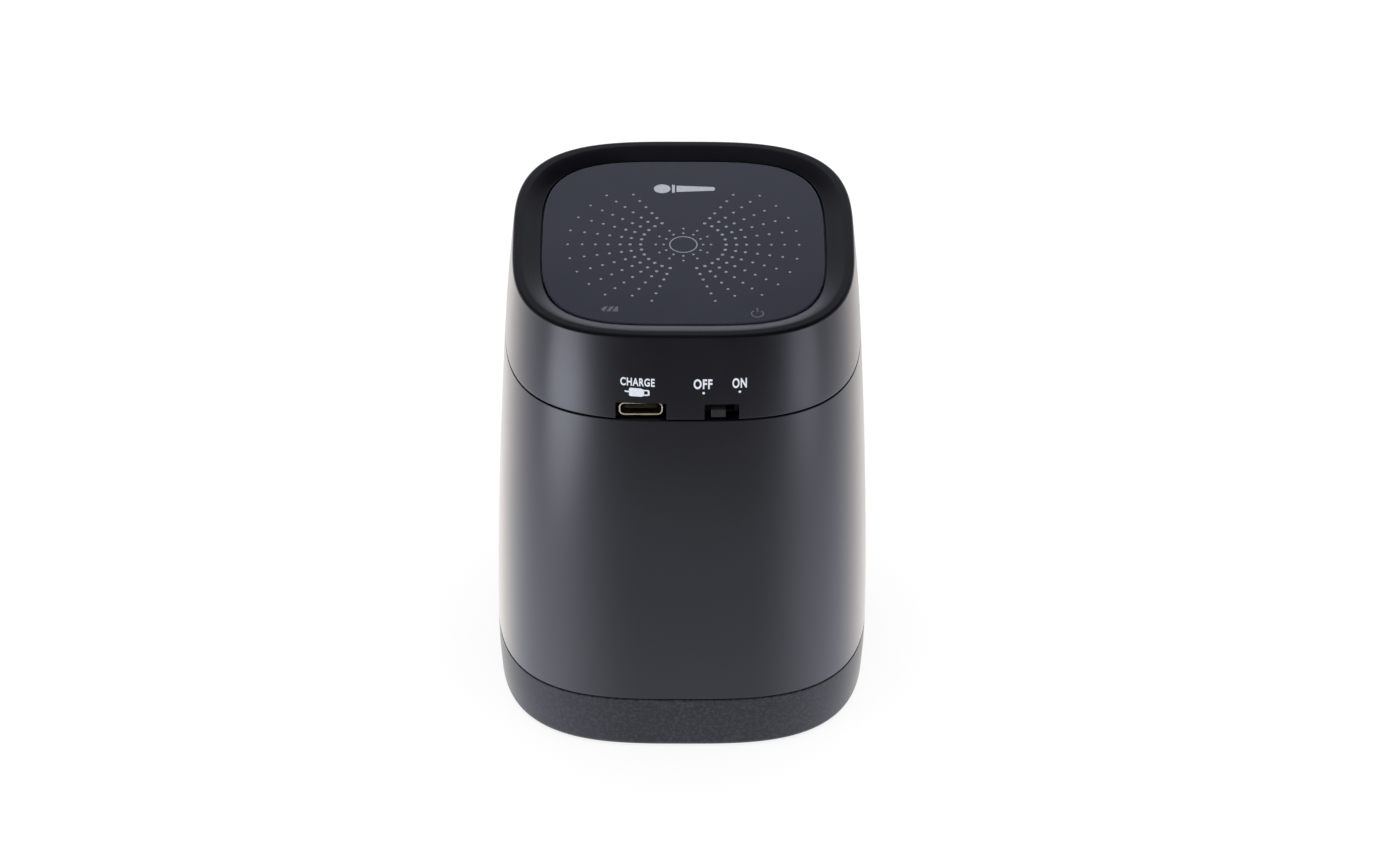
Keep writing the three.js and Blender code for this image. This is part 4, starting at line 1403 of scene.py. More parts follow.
    def openings(self) -> list[Solid]:
        """Builds the light window and the stepped holes of the head's screws."""
        low, high = self.recess_bottom - self.past, self.recess_top + self.past
        half, front = self.icon_window
        window = post("light_window", (0.0, 0.0), self.window_half, (low, high), 96, power=self.panel_power)
        icons = rounded_block("icon_window", (-half, front, low), (half, 0.0, high), self.cutter_ease)
        start, seat = self.boss_bottom - self.past, self.recess_top - self.seat_depth
        hole = [(0, start), (self.screw_hole, start), (self.screw_hole, seat)]
        hole += [(self.screw_seat, seat), (self.screw_seat, high), (0, high)]
        stations = [Station(*point) for point in hole]
        holes = [
            turned(f"head_hole_{number}", stations, 24, place)
            for number, place in enumerate(mirrored(*self.boss_place))
        ]
        return [window, icons, *holes]

    def pieces(self) -> list[Piece]:
        """Builds the cover."""
        cover = carve(self.shell(), [self.lip(), *self.posts()], Carve.JOIN)
        carve(cover, [*self.openings(), *self.notches()], Carve.CUT, "satin_head_cover")
        return [Piece(cover, SATIN_SHELL, Slot.SHELL, ("head_cover",))]


@dataclass
class RubberBoot(SubAssembly):
    """The soft boot over the skirt, flush with the body above it; its foot draws in by the tuck."""

    outline: Outline
    seam: float = 0.3
    tuck: float = 0.5
    edge: float = 1.6
    ease: float = 0.3
    floor: float = 2.2
    floor_radius: float = 30.86
    inner_half: float = 37.26

    def pieces(self) -> list[Piece]:
        """Builds the boot."""
        power, edge = self.outline.power, self.edge
        belt, top = self.outline.belt_half, self.outline.belt_height - self.seam / 2
        corner = arc((belt - self.tuck - edge, edge), (edge, edge), -90, 0, 9)
        profile = [
            Station(self.floor_radius, 0, ease=self.ease),
            *(Station(*point, power) for point in corner),
            Station(belt - self.tuck / 4, (top + edge) / 2, power),
            Station(belt - self.tuck / 16, top - edge, power),
            Station(belt, top, power, self.ease),
            Station(self.inner_half, top, power),
            Station(self.inner_half, self.floor, power),
            Station(self.floor_radius, self.floor, ease=self.ease),
        ]
        return [Piece(turned("soft_rubber_boot", profile), BOOT_RUBBER, Slot.BOOT, ("rubber_boot",))]


@dataclass
class TouchPanel(SubAssembly):
    """The flat glossy plate with its printed dots and symbols.

    Attributes:
        edge_strip: Width of the strip along the edge that has facets of its own.
        ink: Thickness of the prints.
        middle: Place along Y of the middle of the dot pattern.
        ring: Radii of the thin ring's inner and outer edge.
        inner_rings: Radii of the two rings of small dots.
        fan_rings: Radii of the arcs of larger dots, left and right.
        fan_dots: Radius of the dots of the first arc and of the last.
        fan_step: Angle from dot to dot, in degrees.
        fan_first: Angle of an arc's first dot: for every arc but the last, and for the last.
        fan_counts: Dots on an arc, in the same order.
        gauge_place: The battery gauge's lower left corner.
        gauge_bars: Its bars, from that corner: the left one is pointed and the right one upright.
        power_radii: Radii of the inner and the outer edge of the power symbol's ring.
        power_opening: Half the angle that the ring is open at the back.
        power_stroke: Half the width of the stroke, and where it starts and ends.
        microphone_head: The lying microphone's head: its place along X, half-width and half-height.
        microphone_parts: Its collar and its tapered handle.
    """

    half: float = 29.093
    bottom: float = 102.106
    top: float = 103.606
    power: float = 3.7
    edge_ease: float = 0.28
    bottom_ease: float = 0.15
    edge_strip: float = 6.0
    ink: float = 0.03
    middle: float = -1.3
    ring: Flat = (2.665, 2.935)
    inner_rings: Flat = (4.07, 5.7)
    inner_dot: float = 0.275
    inner_count: int = 12
    fan_rings: tuple[float, ...] = (8.8, 10.97, 13.01, 15.53, 18.12, 20.83, 23.83)
    fan_dots: Flat = (0.37, 0.27)
    fan_step: float = 12.0
    fan_first: Flat = (-72.0, -48.0)
    fan_counts: tuple[int, int] = (12, 9)
    gauge_place: Flat = (-16.775, -24.83)
    gauge_bars: tuple[Shape, ...] = (
        ((0.0, 0.85), (0.75, 1.7), (1.45, 1.7), (0.75, 0.0), (0.55, 0.0)),
        ((1.1, 0.0), (1.95, 1.7), (2.75, 1.7), (1.9, 0.0)),
        ((2.25, 0.0), (3.1, 1.7), (3.55, 1.7), (3.55, 0.0)),
    )
    power_place: Flat = (14.94, -25.5)
    power_radii: Flat = (1.05, 1.35)
    power_opening: float = 38.0
    power_stroke: Place = (0.15, 0.6, 2.0)
    microphone_place: float = 18.9
    microphone_head: Place = (-4.4, 1.75, 1.6)
    microphone_parts: tuple[Shape, ...] = (
        ((-2.35, -1.5), (-1.75, -1.35), (-1.75, 1.35), (-2.35, 1.5)),
        ((-1.4, -1.15), (6.3, -0.65), (6.6, -0.4), (6.6, 0.4), (6.3, 0.65), (-1.4, 1.15)),
    )

    def plate(self) -> Solid:
        """Builds the plate."""
        profile = [
            Station(0, self.bottom, self.power),
            Station(self.half, self.bottom, self.power, self.bottom_ease),
            Station(self.half, self.top, self.power, self.edge_ease),
            Station(self.half - self.edge_strip, self.top, self.power),
            Station(0, self.top, self.power),
        ]
        return turned("glossy_touch_panel", profile)

    def dot_arc(self, count: int, radius: float, first: float, step: float, size: float) -> Solid:
        """Prints one arc of dots.

        Args:
            count: Number of dots.
            radius: Radius of the arc.
            first: Angle of the first dot, in degrees.
            step: Angle from dot to dot, in degrees.
            size: Radius of a dot.

        Returns:
            The dots, round the origin.
        """
        sizes = {
            "Dots": count,
            "Radius": radius * MM,
            "First angle": math.radians(first),
            "Angle step": math.radians(step),
            "Dot radius": size * MM,
            "Thickness": self.ink * MM,
        }
        return DotArc("printed_dot_arc", sizes).solid(PANEL_INK)

    def dots(self) -> Solid:
        """Prints the two rings of small dots and the two fans of larger ones."""
        count = self.inner_count
        made = [self.dot_arc(count, radius, 90, 360 / count, self.inner_dot) for radius in self.inner_rings]
        last = len(self.fan_rings) - 1
        for number, radius in enumerate(self.fan_rings):
            size = between(*self.fan_dots, number / last)
            first, count = self.fan_first[number == last], self.fan_counts[number == last]
            made.append(self.dot_arc(count, radius, first, self.fan_step, size))
            made.append(self.dot_arc(count, radius, 180 - first, -self.fan_step, size))
        pattern = merged("panel_dots", made)
        pattern.data.transform(Matrix.Translation((0, self.middle * MM, (self.top + self.ink / 2) * MM)))
        return pattern

    def centre_ring(self) -> Solid:
        """Prints the thin ring in the middle."""
        (inner, outer), low, high = self.ring, self.top, self.top + self.ink
        profile = [Station(inner, low), Station(outer, low), Station(outer, high), Station(inner, high)]
        return turned("panel_centre_ring", profile, 96, (0.0, self.middle))

    def symbol(self, name: str, place: Flat, shapes: Sequence[Shape]) -> Solid:
        """Prints one symbol on the panel.

        Args:
            name: Its name.
            place: Where it stands.
            shapes: The corners of its shapes, from that place.

        Returns:
            The symbol.
        """
        return printed(
            name,
            shapes,
            self.ink,
            lambda across, along, depth: (place[0] + across, place[1] + along, self.top + depth),
        )

    def power_shapes(self) -> list[Shape]:
        """Draws the power symbol: a ring open at the back, and a stroke in the opening."""
        inner, outer = self.power_radii
        start, end = 90 + self.power_opening, 450 - self.power_opening
        ring = arc((0, 0), (outer, outer), start, end, 32) + arc((0, 0), (inner, inner), end, start, 32)
        half, low, high = self.power_stroke
        return [ring, [(-half, low), (half, low), (half, high), (-half, high)]]

    def pieces(self) -> list[Piece]:
        """Builds the panel and its prints."""
        across, *radii = self.microphone_head
        microphone = [disc((across, 0), radii), *self.microphone_parts]
        gauge = self.symbol("panel_battery_gauge", self.gauge_place, self.gauge_bars)
        power = self.symbol("panel_power_symbol", self.power_place, self.power_shapes())
        sign = self.symbol("panel_microphone_symbol", (0, self.microphone_place), microphone)
        return [
            Piece(self.plate(), PANEL_FILM, Slot.PANEL, ("touch_panel",)),
            Piece(self.dots(), PANEL_INK, Slot.DIFFUSER),
            Piece(self.centre_ring(), PANEL_INK, Slot.DIFFUSER),
            Piece(gauge, FAINT_INK, Slot.DIFFUSER),
            Piece(power, FAINT_INK, Slot.DIFFUSER),
            Piece(sign, PALE_INK, Slot.DIFFUSER),
        ]


@dataclass
class ChargeInlet(SubAssembly):
    """The standard charge inlet: a drawn steel shell, a black tongue and two rows of gold contacts.

    Attributes:
        across: Place along X of the inlet's middle, whose height is middle.
        front: Place along Y of its mouth.
        mouth_ease: Rounding of the shell's front edge.
        lip_depth: Depth of the burnished lip, which is a piece of its own.
        root_front: Place along Y of the front of the block that holds the tongue.
        root_gap: Gap between that block and the shell.
        blade_lap: How far the tongue runs into the block.
        contact_start: Distance from the tongue's front to the contacts.
        contact_proud: Distance from the tongue's face to a contact's middle.
    """

    across: float = -8.6
    middle: float = 87.186
    front: float = -35.733
    width: float = 8.94
    height: float = 3.16
    corner: float = 1.2
    length: float = 7.3
    wall: float = 0.3
    mouth_ease: float = 0.08
    lip_depth: float = 0.12
    foot_width: float = 1.2
    foot_ease: float = 0.08
    board_top: float = 85.456
    tongue_width: float = 6.69
    tongue_thickness: float = 0.7
    tongue_front: float = -34.933
    tongue_ease: float = 0.18
    root_front: float = -30.233
    root_gap: float = 0.15
    blade_lap: float = 0.5
    contacts: int = 12
    contact_pitch: float = 0.5
    contact_width: float = 0.26
    contact_length: float = 3.2
    contact_thickness: float = 0.04
    contact_start: float = 0.1
    contact_proud: float = 0.005

    def stadium(self, inset: float, depth: float, points: int = 48) -> list[Place]:
        """Draws the inlet's rounded outline.

        Args:
            inset: How far inside the shell's outer face.
            depth: Place along Y.
            points: Number of points.

        Returns:
            The points in order.
        """
        radius = self.corner - inset
        reach, rise = self.width / 2 - self.corner, self.height / 2 - self.corner
        made = []
        for step in range(points):
            angle = math.tau * (step + 0.5) / points
            across = math.copysign(reach, math.cos(angle)) + radius * math.cos(angle)
            up = math.copysign(rise, math.sin(angle)) + radius * math.sin(angle)
            made.append((self.across + across, depth, self.middle + up))
        return made

    def tube(self, name: str, stations: Shape, closed: bool = True) -> Solid:
        """Carries a profile round the inlet.

        Args:
            name: The object's name.
            stations: The inset and the place along Y of each point.
            closed: Whether the profile is closed; the ends of an open one are capped.

        Returns:
            The tube.
        """
        rings = [self.stadium(inset, depth) for inset, depth in stations]
        return rings_solid(name, rings, closed, 50.0 if closed else CRISP)

    def lip(self) -> Solid:
        """Builds the shell's rounded front edge, whose pale finish is a painted highlight."""
        front, wall, ease = self.front, self.wall, self.mouth_ease
        end = front + self.lip_depth
        outer = [(0.0, end), (0.0, front + ease), (ease / 2, front + ease / 4), (ease, front)]
        inner = [(wall - inset, depth) for inset, depth in reversed(outer)]
        return self.tube("inlet_shell_lip", outer + inner)

    def shell(self) -> Solid:
        """Builds the shell behind its lip, with its two solder feet."""
        back, start, wall = self.front + self.length, self.front + self.lip_depth, self.wall
        tube = self.tube("inlet_shell_tube", [(0.0, back), (0.0, start), (wall, start), (wall, back)])
        foot_front, half = back - 2 * self.foot_width, self.foot_width / 2
        foot_top = self.middle - self.height / 2 + wall / 2
        places = [self.across + side * self.width / 4 for side in (-1, 1)]
        feet = [
            rounded_block(
                f"inlet_foot_{number}",
                (place - half, foot_front, self.board_top),
                (place + half, foot_front + self.foot_width, foot_top),
                self.foot_ease,
            )
            for number, place in enumerate(places)
        ]
        return carve(tube, feet, Carve.JOIN, "inlet_steel_shell")

    def tongue(self) -> Solid:
        """Builds the tongue on the block that closes the back of the shell."""
        inset, back = self.wall + self.root_gap, self.front + self.length
        root = self.tube("inlet_root", [(inset, self.root_front), (inset, back)], closed=False)
        half, rise = self.tongue_width / 2, self.tongue_thickness / 2
        blade = rounded_block(
            "inlet_blade",
            (self.across - half, self.tongue_front, self.middle - rise),
            (self.across + half, self.root_front + self.blade_lap, self.middle + rise),
            self.tongue_ease,
        )
        return carve(root, [blade], Carve.JOIN, "inlet_black_tongue")

    def contact_rows(self) -> Solid:
        """Lays a row of contacts on either face of the tongue."""
        sizes = {
            "Contacts": self.contacts,
            "Pitch": self.contact_pitch * MM,
            "Width": self.contact_width * MM,
            "Length": self.contact_length * MM,
            "Thickness": self.contact_thickness * MM,
        }
        start = self.across - self.contact_pitch * (self.contacts - 1) / 2
        depth = self.tongue_front + self.contact_start + self.contact_length / 2
        rows = []
        for side in (-1, 1):
            row = ContactRow("inlet_contact_row", sizes).solid(CONTACT_GOLD)
            height = self.middle + side * (self.tongue_thickness / 2 + self.contact_proud)
            row.data.transform(Matrix.Translation(Vector((start, depth, height)) * MM))
            rows.append(row)
        return merged("inlet_gold_contacts", rows)

    def pieces(self) -> list[Piece]:
        """Builds the inlet."""
        return [
            Piece(self.shell(), PLATED_STRIP, Slot.STEEL, ("usb_shell",)),
            # The lip's pale half-matte finish is a painted highlight that keeps the inlet's rim bright.
            Piece(self.lip(), SHEARED_EDGE_WITH_PAINTED_HIGHLIGHT, Slot.STEEL),
            Piece(self.tongue(), INNER_NYLON, Slot.INNER, ("usb_tongue",)),
            Piece(self.contact_rows(), CONTACT_GOLD, Slot.STEEL),
        ]


@dataclass
class SlideKnob(SubAssembly):
    """The slide switch's knob at OFF: a block with rounded edges and a stem that runs into the case."""

    left: float = 5.6
    width: float = 3.0
    bottom: float = 85.556
    height: float = 2.0
    front: float = -36.469
    depth: float = 2.2
    edge: float = 0.22
    stem: float = 1.8
    stem_back: float = -31.77
    stem_rise: float = 0.6
    stem_edge: float = 0.12

    def pieces(self) -> list[Piece]:
        """Builds the knob."""
        cap = rounded_block(
            "knob_cap",
            (self.left, self.front, self.bottom),
            (self.left + self.width, self.front + self.depth, self.bottom + self.height),
            self.edge,
            segments=4,
        )
        across, middle, half = self.left + self.width / 2, self.bottom + self.height / 2, self.stem / 2
        stem = rounded_block(
            "knob_stem",
            (across - half, self.front + self.depth / 2, middle - self.stem_rise),
            (across + half, self.stem_back, middle + self.stem_rise),
            self.stem_edge,
        )
        knob = carve(cap, [stem], Carve.JOIN, "slide_switch_knob")
        return [Piece(knob, KNOB_ACETAL, Slot.SHELL, ("switch_knob",), Body.SLIDER)]


@dataclass(frozen=True)
class Word:
    """One printed word.

    Attributes:
        text: What it says.
        left: Where it starts.
        right: Where it ends.
        low: Where its letters stand.
        high: How high they reach.
        drop: How much lower the last letter stands.
    """

    text: str
    left: float
    right: float
    low: float
    high: float
    drop: float = 0.0


@dataclass
class WallPrint(SubAssembly):
    """The white words and signs over the inlet and the switch.

    Attributes:
        lift: Gap between the wall and the ink, which keeps the two faces apart.
        letter_weight: How much bolder the letters are, in the lettering's own units.
        letter_gap: Distance from letter to letter, as a multiple of the usual one.
        letter_facets: Facets on each curve.
        letter_depth: Half the letters' thickness before they are laid on the wall.
        letter_sliver: Corners closer than this are one corner, which closes the outlines' loose ends.
        plug: The lying plug: its lead, its grip and the bars of its open tip.
    """

    outline: Outline
    lift: float = 0.012
    ink: float = 0.02
    words: tuple[Word, ...] = (
        Word("CHARGE", -12.75, -5.8, 93.3, 95.22, 0.22),
        Word("OFF", 2.05, 5.85, 92.6, 94.95),
        Word("ON", 9.88, 12.8, 92.72, 95.08),
    )
    letter_weight: float = 0.03
    letter_gap: float = 1.12
    letter_facets: int = 6
    letter_depth: float = 0.01
    letter_sliver: float = 0.012
    plug: tuple[Shape, ...] = (
        ((-11.87, 91.8), (-11.5, 91.7), (-10.9, 91.65), (-10.9, 92.0), (-11.5, 92.05), (-11.87, 92.12)),
        (
            (-11.0, 91.05), (-10.8, 90.8), (-8.6, 90.7), (-7.95, 90.95),
            (-7.95, 92.35), (-8.6, 92.65), (-10.8, 92.77), (-11.0, 92.5),
        ),
        ((-7.95, 92.05), (-7.2, 92.0), (-6.84, 92.12), (-7.1, 92.33), (-7.95, 92.35)),
        ((-7.95, 90.95), (-7.1, 90.93), (-6.84, 91.13), (-7.2, 91.28), (-7.95, 91.26)),
        ((-7.2, 91.28), (-6.84, 91.13), (-6.84, 92.12), (-7.2, 92.0)),
    )
    dots: tuple[Flat, ...] = ((4.09, 91.66), (11.4, 91.85))
    dot_radius: float = 0.27

    def on_wall(self, across: float, height: float, depth: float) -> Place:
        """Lays a flat point on the curved front wall."""
        return across, self.outline.front_wall(across, height) - self.lift - depth, height

    def word(self, word: Word) -> Solid:
        """Prints one word in bold, narrow capitals, bent to the wall."""
        lettering = bpy.data.curves.new(word.text, "FONT")
        lettering.body = word.text
        lettering.offset = self.letter_weight
        lettering.space_character = self.letter_gap
        lettering.resolution_u = self.letter_facets
        lettering.extrude = self.letter_depth
        holder = linked(f"word_{word.text.lower()}", lettering)
        build = bmesh.new()
        build.from_mesh(final_mesh(holder))
        bpy.data.objects.remove(holder)
        bmesh.ops.remove_doubles(build, verts=build.verts, dist=self.letter_sliver)
        bmesh.ops.triangulate(build, faces=build.faces)
        places = [(vertex.co.x, vertex.co.y) for vertex in build.verts]
        (left, right), (low, high) = ((min(values), max(values)) for values in zip(*places))
        for vertex in build.verts:
            share, rise = (vertex.co.x - left) / (right - left), (vertex.co.y - low) / (high - low)
            height = word.low - word.drop * share + (word.high - word.low) * rise
            depth = self.ink if vertex.co.z > 0 else 0.0
            vertex.co = Vector(self.on_wall(between(word.left, word.right, share), height, depth))
        return mesh_object(f"print_{word.text.lower()}", build)

    def pieces(self) -> list[Piece]:
        """Prints the words, the sign and the dots."""
        marks = [disc(place, (self.dot_radius, self.dot_radius)) for place in self.dots]
        prints = [
            *(self.word(word) for word in self.words),
            printed("print_plug_sign", self.plug, self.ink, self.on_wall),
            printed("print_switch_marks", marks, self.ink, self.on_wall),
        ]
        return [Piece(solid, WALL_INK, Slot.DIFFUSER) for solid in prints]


@dataclass
class MouthSeal(SubAssembly):
    """The soft ring whose lip closes round the microphone.

    Attributes:
        bore: Radius of its opening.
        flange: Radius of the flange under the base ring; the one over it is the cap.
        lip_root: Height at which the lip leaves the bore.
    """

    bore: float = 26.2
    flange: float = 29.8
    cap: float = 29.5
    groove: float = 27.7
    bottom: float = 1.4
    ring_bottom: float = 2.2
    ring_top: float = 5.2
    top: float = 6.0
    lip_root: float = 3.7
    lip_reach: float = 2.2
    lip_rise: float = 2.4
    lip_thickness: float = 0.9

    def pieces(self) -> list[Piece]:
        """Builds the seal."""
        tip, end = self.lip_root + self.lip_rise, self.bore - self.lip_reach
        profile = [
            Station(self.bore, self.bottom, ease=0.35),
            Station(self.flange, self.bottom, ease=0.3),
            Station(self.flange, self.ring_bottom),
            Station(self.groove, self.ring_bottom),
            Station(self.groove, self.ring_top),
            Station(self.cap, self.ring_top),
            Station(self.cap, self.top, ease=0.2),
            Station(self.bore, self.top),
            Station(self.bore, self.lip_root + self.lip_thickness, ease=0.15),
            Station(end, tip, ease=0.3),
            Station(end, tip - self.lip_thickness, ease=0.3),
            Station(self.bore, self.lip_root, ease=0.5),
        ]
        return [Piece(turned("soft_mouth_seal", profile), LIP_SILICONE, Slot.SILICONE, ("mouth_seal",))]


@dataclass
class ChamberLiner(SubAssembly):
    """The bright bowl round the microphone, with four lamp ports in its wall and one in its top.

    Attributes:
        radius: Radius of its inner face.
        dome_centre: Height of the middle of its domed top.
        top_port: Radius of the port in its top.
        port_height: Height of the ports in its wall.
        past: How far a port's cutter reaches past the outer face.
    """

    radius: float = 29.0
    wall: float = 0.8
    bottom: float = 6.3
    ease: float = 0.2
    dome_centre: float = 50.1
    top_port: float = 8.0
    port_radius: float = 3.6
    port_height: float = 38.055
    past: float = 2.0

    def dome(self, radius: float) -> list[Station]:
        """Follows the dome, at a radius, from its foot to the port in its top."""
        end = 90 - math.degrees(math.asin(self.top_port / radius))
        return [Station(*point) for point in arc((0, self.dome_centre), (radius, radius), 0, end, 24)]

    def port(self, side: int) -> Solid:
        """Builds what opens the lamp port on side 0 to 3."""
        turn = Matrix.Rotation(math.radians(90 * side), 4, "Z")
        return prism(
            f"lamp_port_{side}",
            disc((0, self.port_height), (self.port_radius, self.port_radius), 36),
            -self.radius - self.past,
            -self.radius / 2,
            lambda across, up, depth: tuple(turn @ Vector((across, depth, up))),
        )

    def pieces(self) -> list[Piece]:
        """Builds the liner."""
        outer = self.radius + self.wall
        profile = [
            Station(self.radius, self.bottom, ease=self.ease),
            Station(outer, self.bottom, ease=self.ease),
            *self.dome(outer),
            *reversed(self.dome(self.radius)),
        ]
        bowl = turned("spun_chamber_liner", profile, 160)
        carve(bowl, [self.port(side) for side in range(4)], Carve.CUT)
        return [Piece(bowl, SPUN_ALUMINIUM, Slot.LINER, ("chamber_reflector",))]


def dress_carried(nodes: dict[str, Solid]) -> None:
    """Gives each carried-over solid among the CAD nodes its finish."""
    for name, node in nodes.items():
        finish = CARRIED.get(name) or CARRIED.get(name.rstrip("0123456789"))
        if finish is None:
            continue
        node.data.materials.clear()
        node.data.materials.append(finish.material())
        LOG.info("%s: %s", name, finish.name)


# Camera and studio


@dataclass
class Camera:
    """The camera at the photograph's place.

    Attributes:
        place: Where it stands, in millimetres.
        pitch: How far it looks down, in degrees.
        yaw: How far it turns right.
        roll: How far it leans.
        focal: Focal length in photograph pixels.
        photo_width: Width of the photograph in pixels.
        sensor: Width of the sensor in millimetres.
        clip: The nearest and the furthest distance that it sees, in metres.
    """

    place: Place = (-3.47, -895.33, 733.228)
    pitch: float = 37.1652
    yaw: float = 0.32285
    roll: float = 0.31037
    focal: float = 5309.4256
    photo_width: float = 1380.0
    sensor: float = 36.0
    clip: Flat = (0.05, 50.0)

    def set_up(self) -> None:
        """Makes the camera and gives it to the scene."""
        pitch, yaw, roll = (math.radians(angle) for angle in (self.pitch, self.yaw, self.roll))
        forward = Vector((math.sin(yaw) * math.cos(pitch), math.cos(yaw) * math.cos(pitch), -math.sin(pitch)))
        level = Vector((math.cos(yaw), -math.sin(yaw), 0))
        upward = level.cross(forward)
        right = math.cos(roll) * level + math.sin(roll) * upward
        up = -math.sin(roll) * level + math.cos(roll) * upward
        lens = bpy.data.cameras.new("photo_camera")
        lens.sensor_fit = "HORIZONTAL"
        lens.sensor_width = self.sensor
        lens.lens = self.focal / self.photo_width * lens.sensor_width
        lens.clip_start, lens.clip_end = self.clip
        holder = linked("photo_camera", lens)
        turn = Matrix((right, up, -forward)).transposed().to_4x4()
        holder.matrix_world = Matrix.Translation(Vector(self.place) * MM) @ turn
        bpy.context.scene.camera = holder


@dataclass(frozen=True)
class Fade:
    """A level that eases from one value to another over a span.

    Attributes:
        span: Where it starts and ends.
        levels: The values there, each a number or a node's output.
    """

    span: Flat
    levels: tuple[object, object] = (0.0, 1.0)

    def over(self, tree: Tree, measure: Socket) -> Socket:
        """Applies the fade.

        Args:
            tree: The tree.
            measure: What the span is measured on.

        Returns:
            The output that holds the level.
        """
        (start, end), (first, last) = self.span, self.levels
        return add_node(
            tree,
            "ShaderNodeMapRange",
            {"Value": measure, "From Min": start, "From Max": end, "To Min": first, "To Max": last},
            interpolation_type="SMOOTHSTEP",
        ).outputs[0]


@dataclass(frozen=True)
class Card:
    """A round pale card that surfaces mirror.

    Attributes:
        level: How much brighter it is than the table under it.
        middle: Where it lies, in metres.
        edge: Where its soft edge starts and ends, as distances from its middle.
    """

    level: float
    middle: Place
    edge: Flat


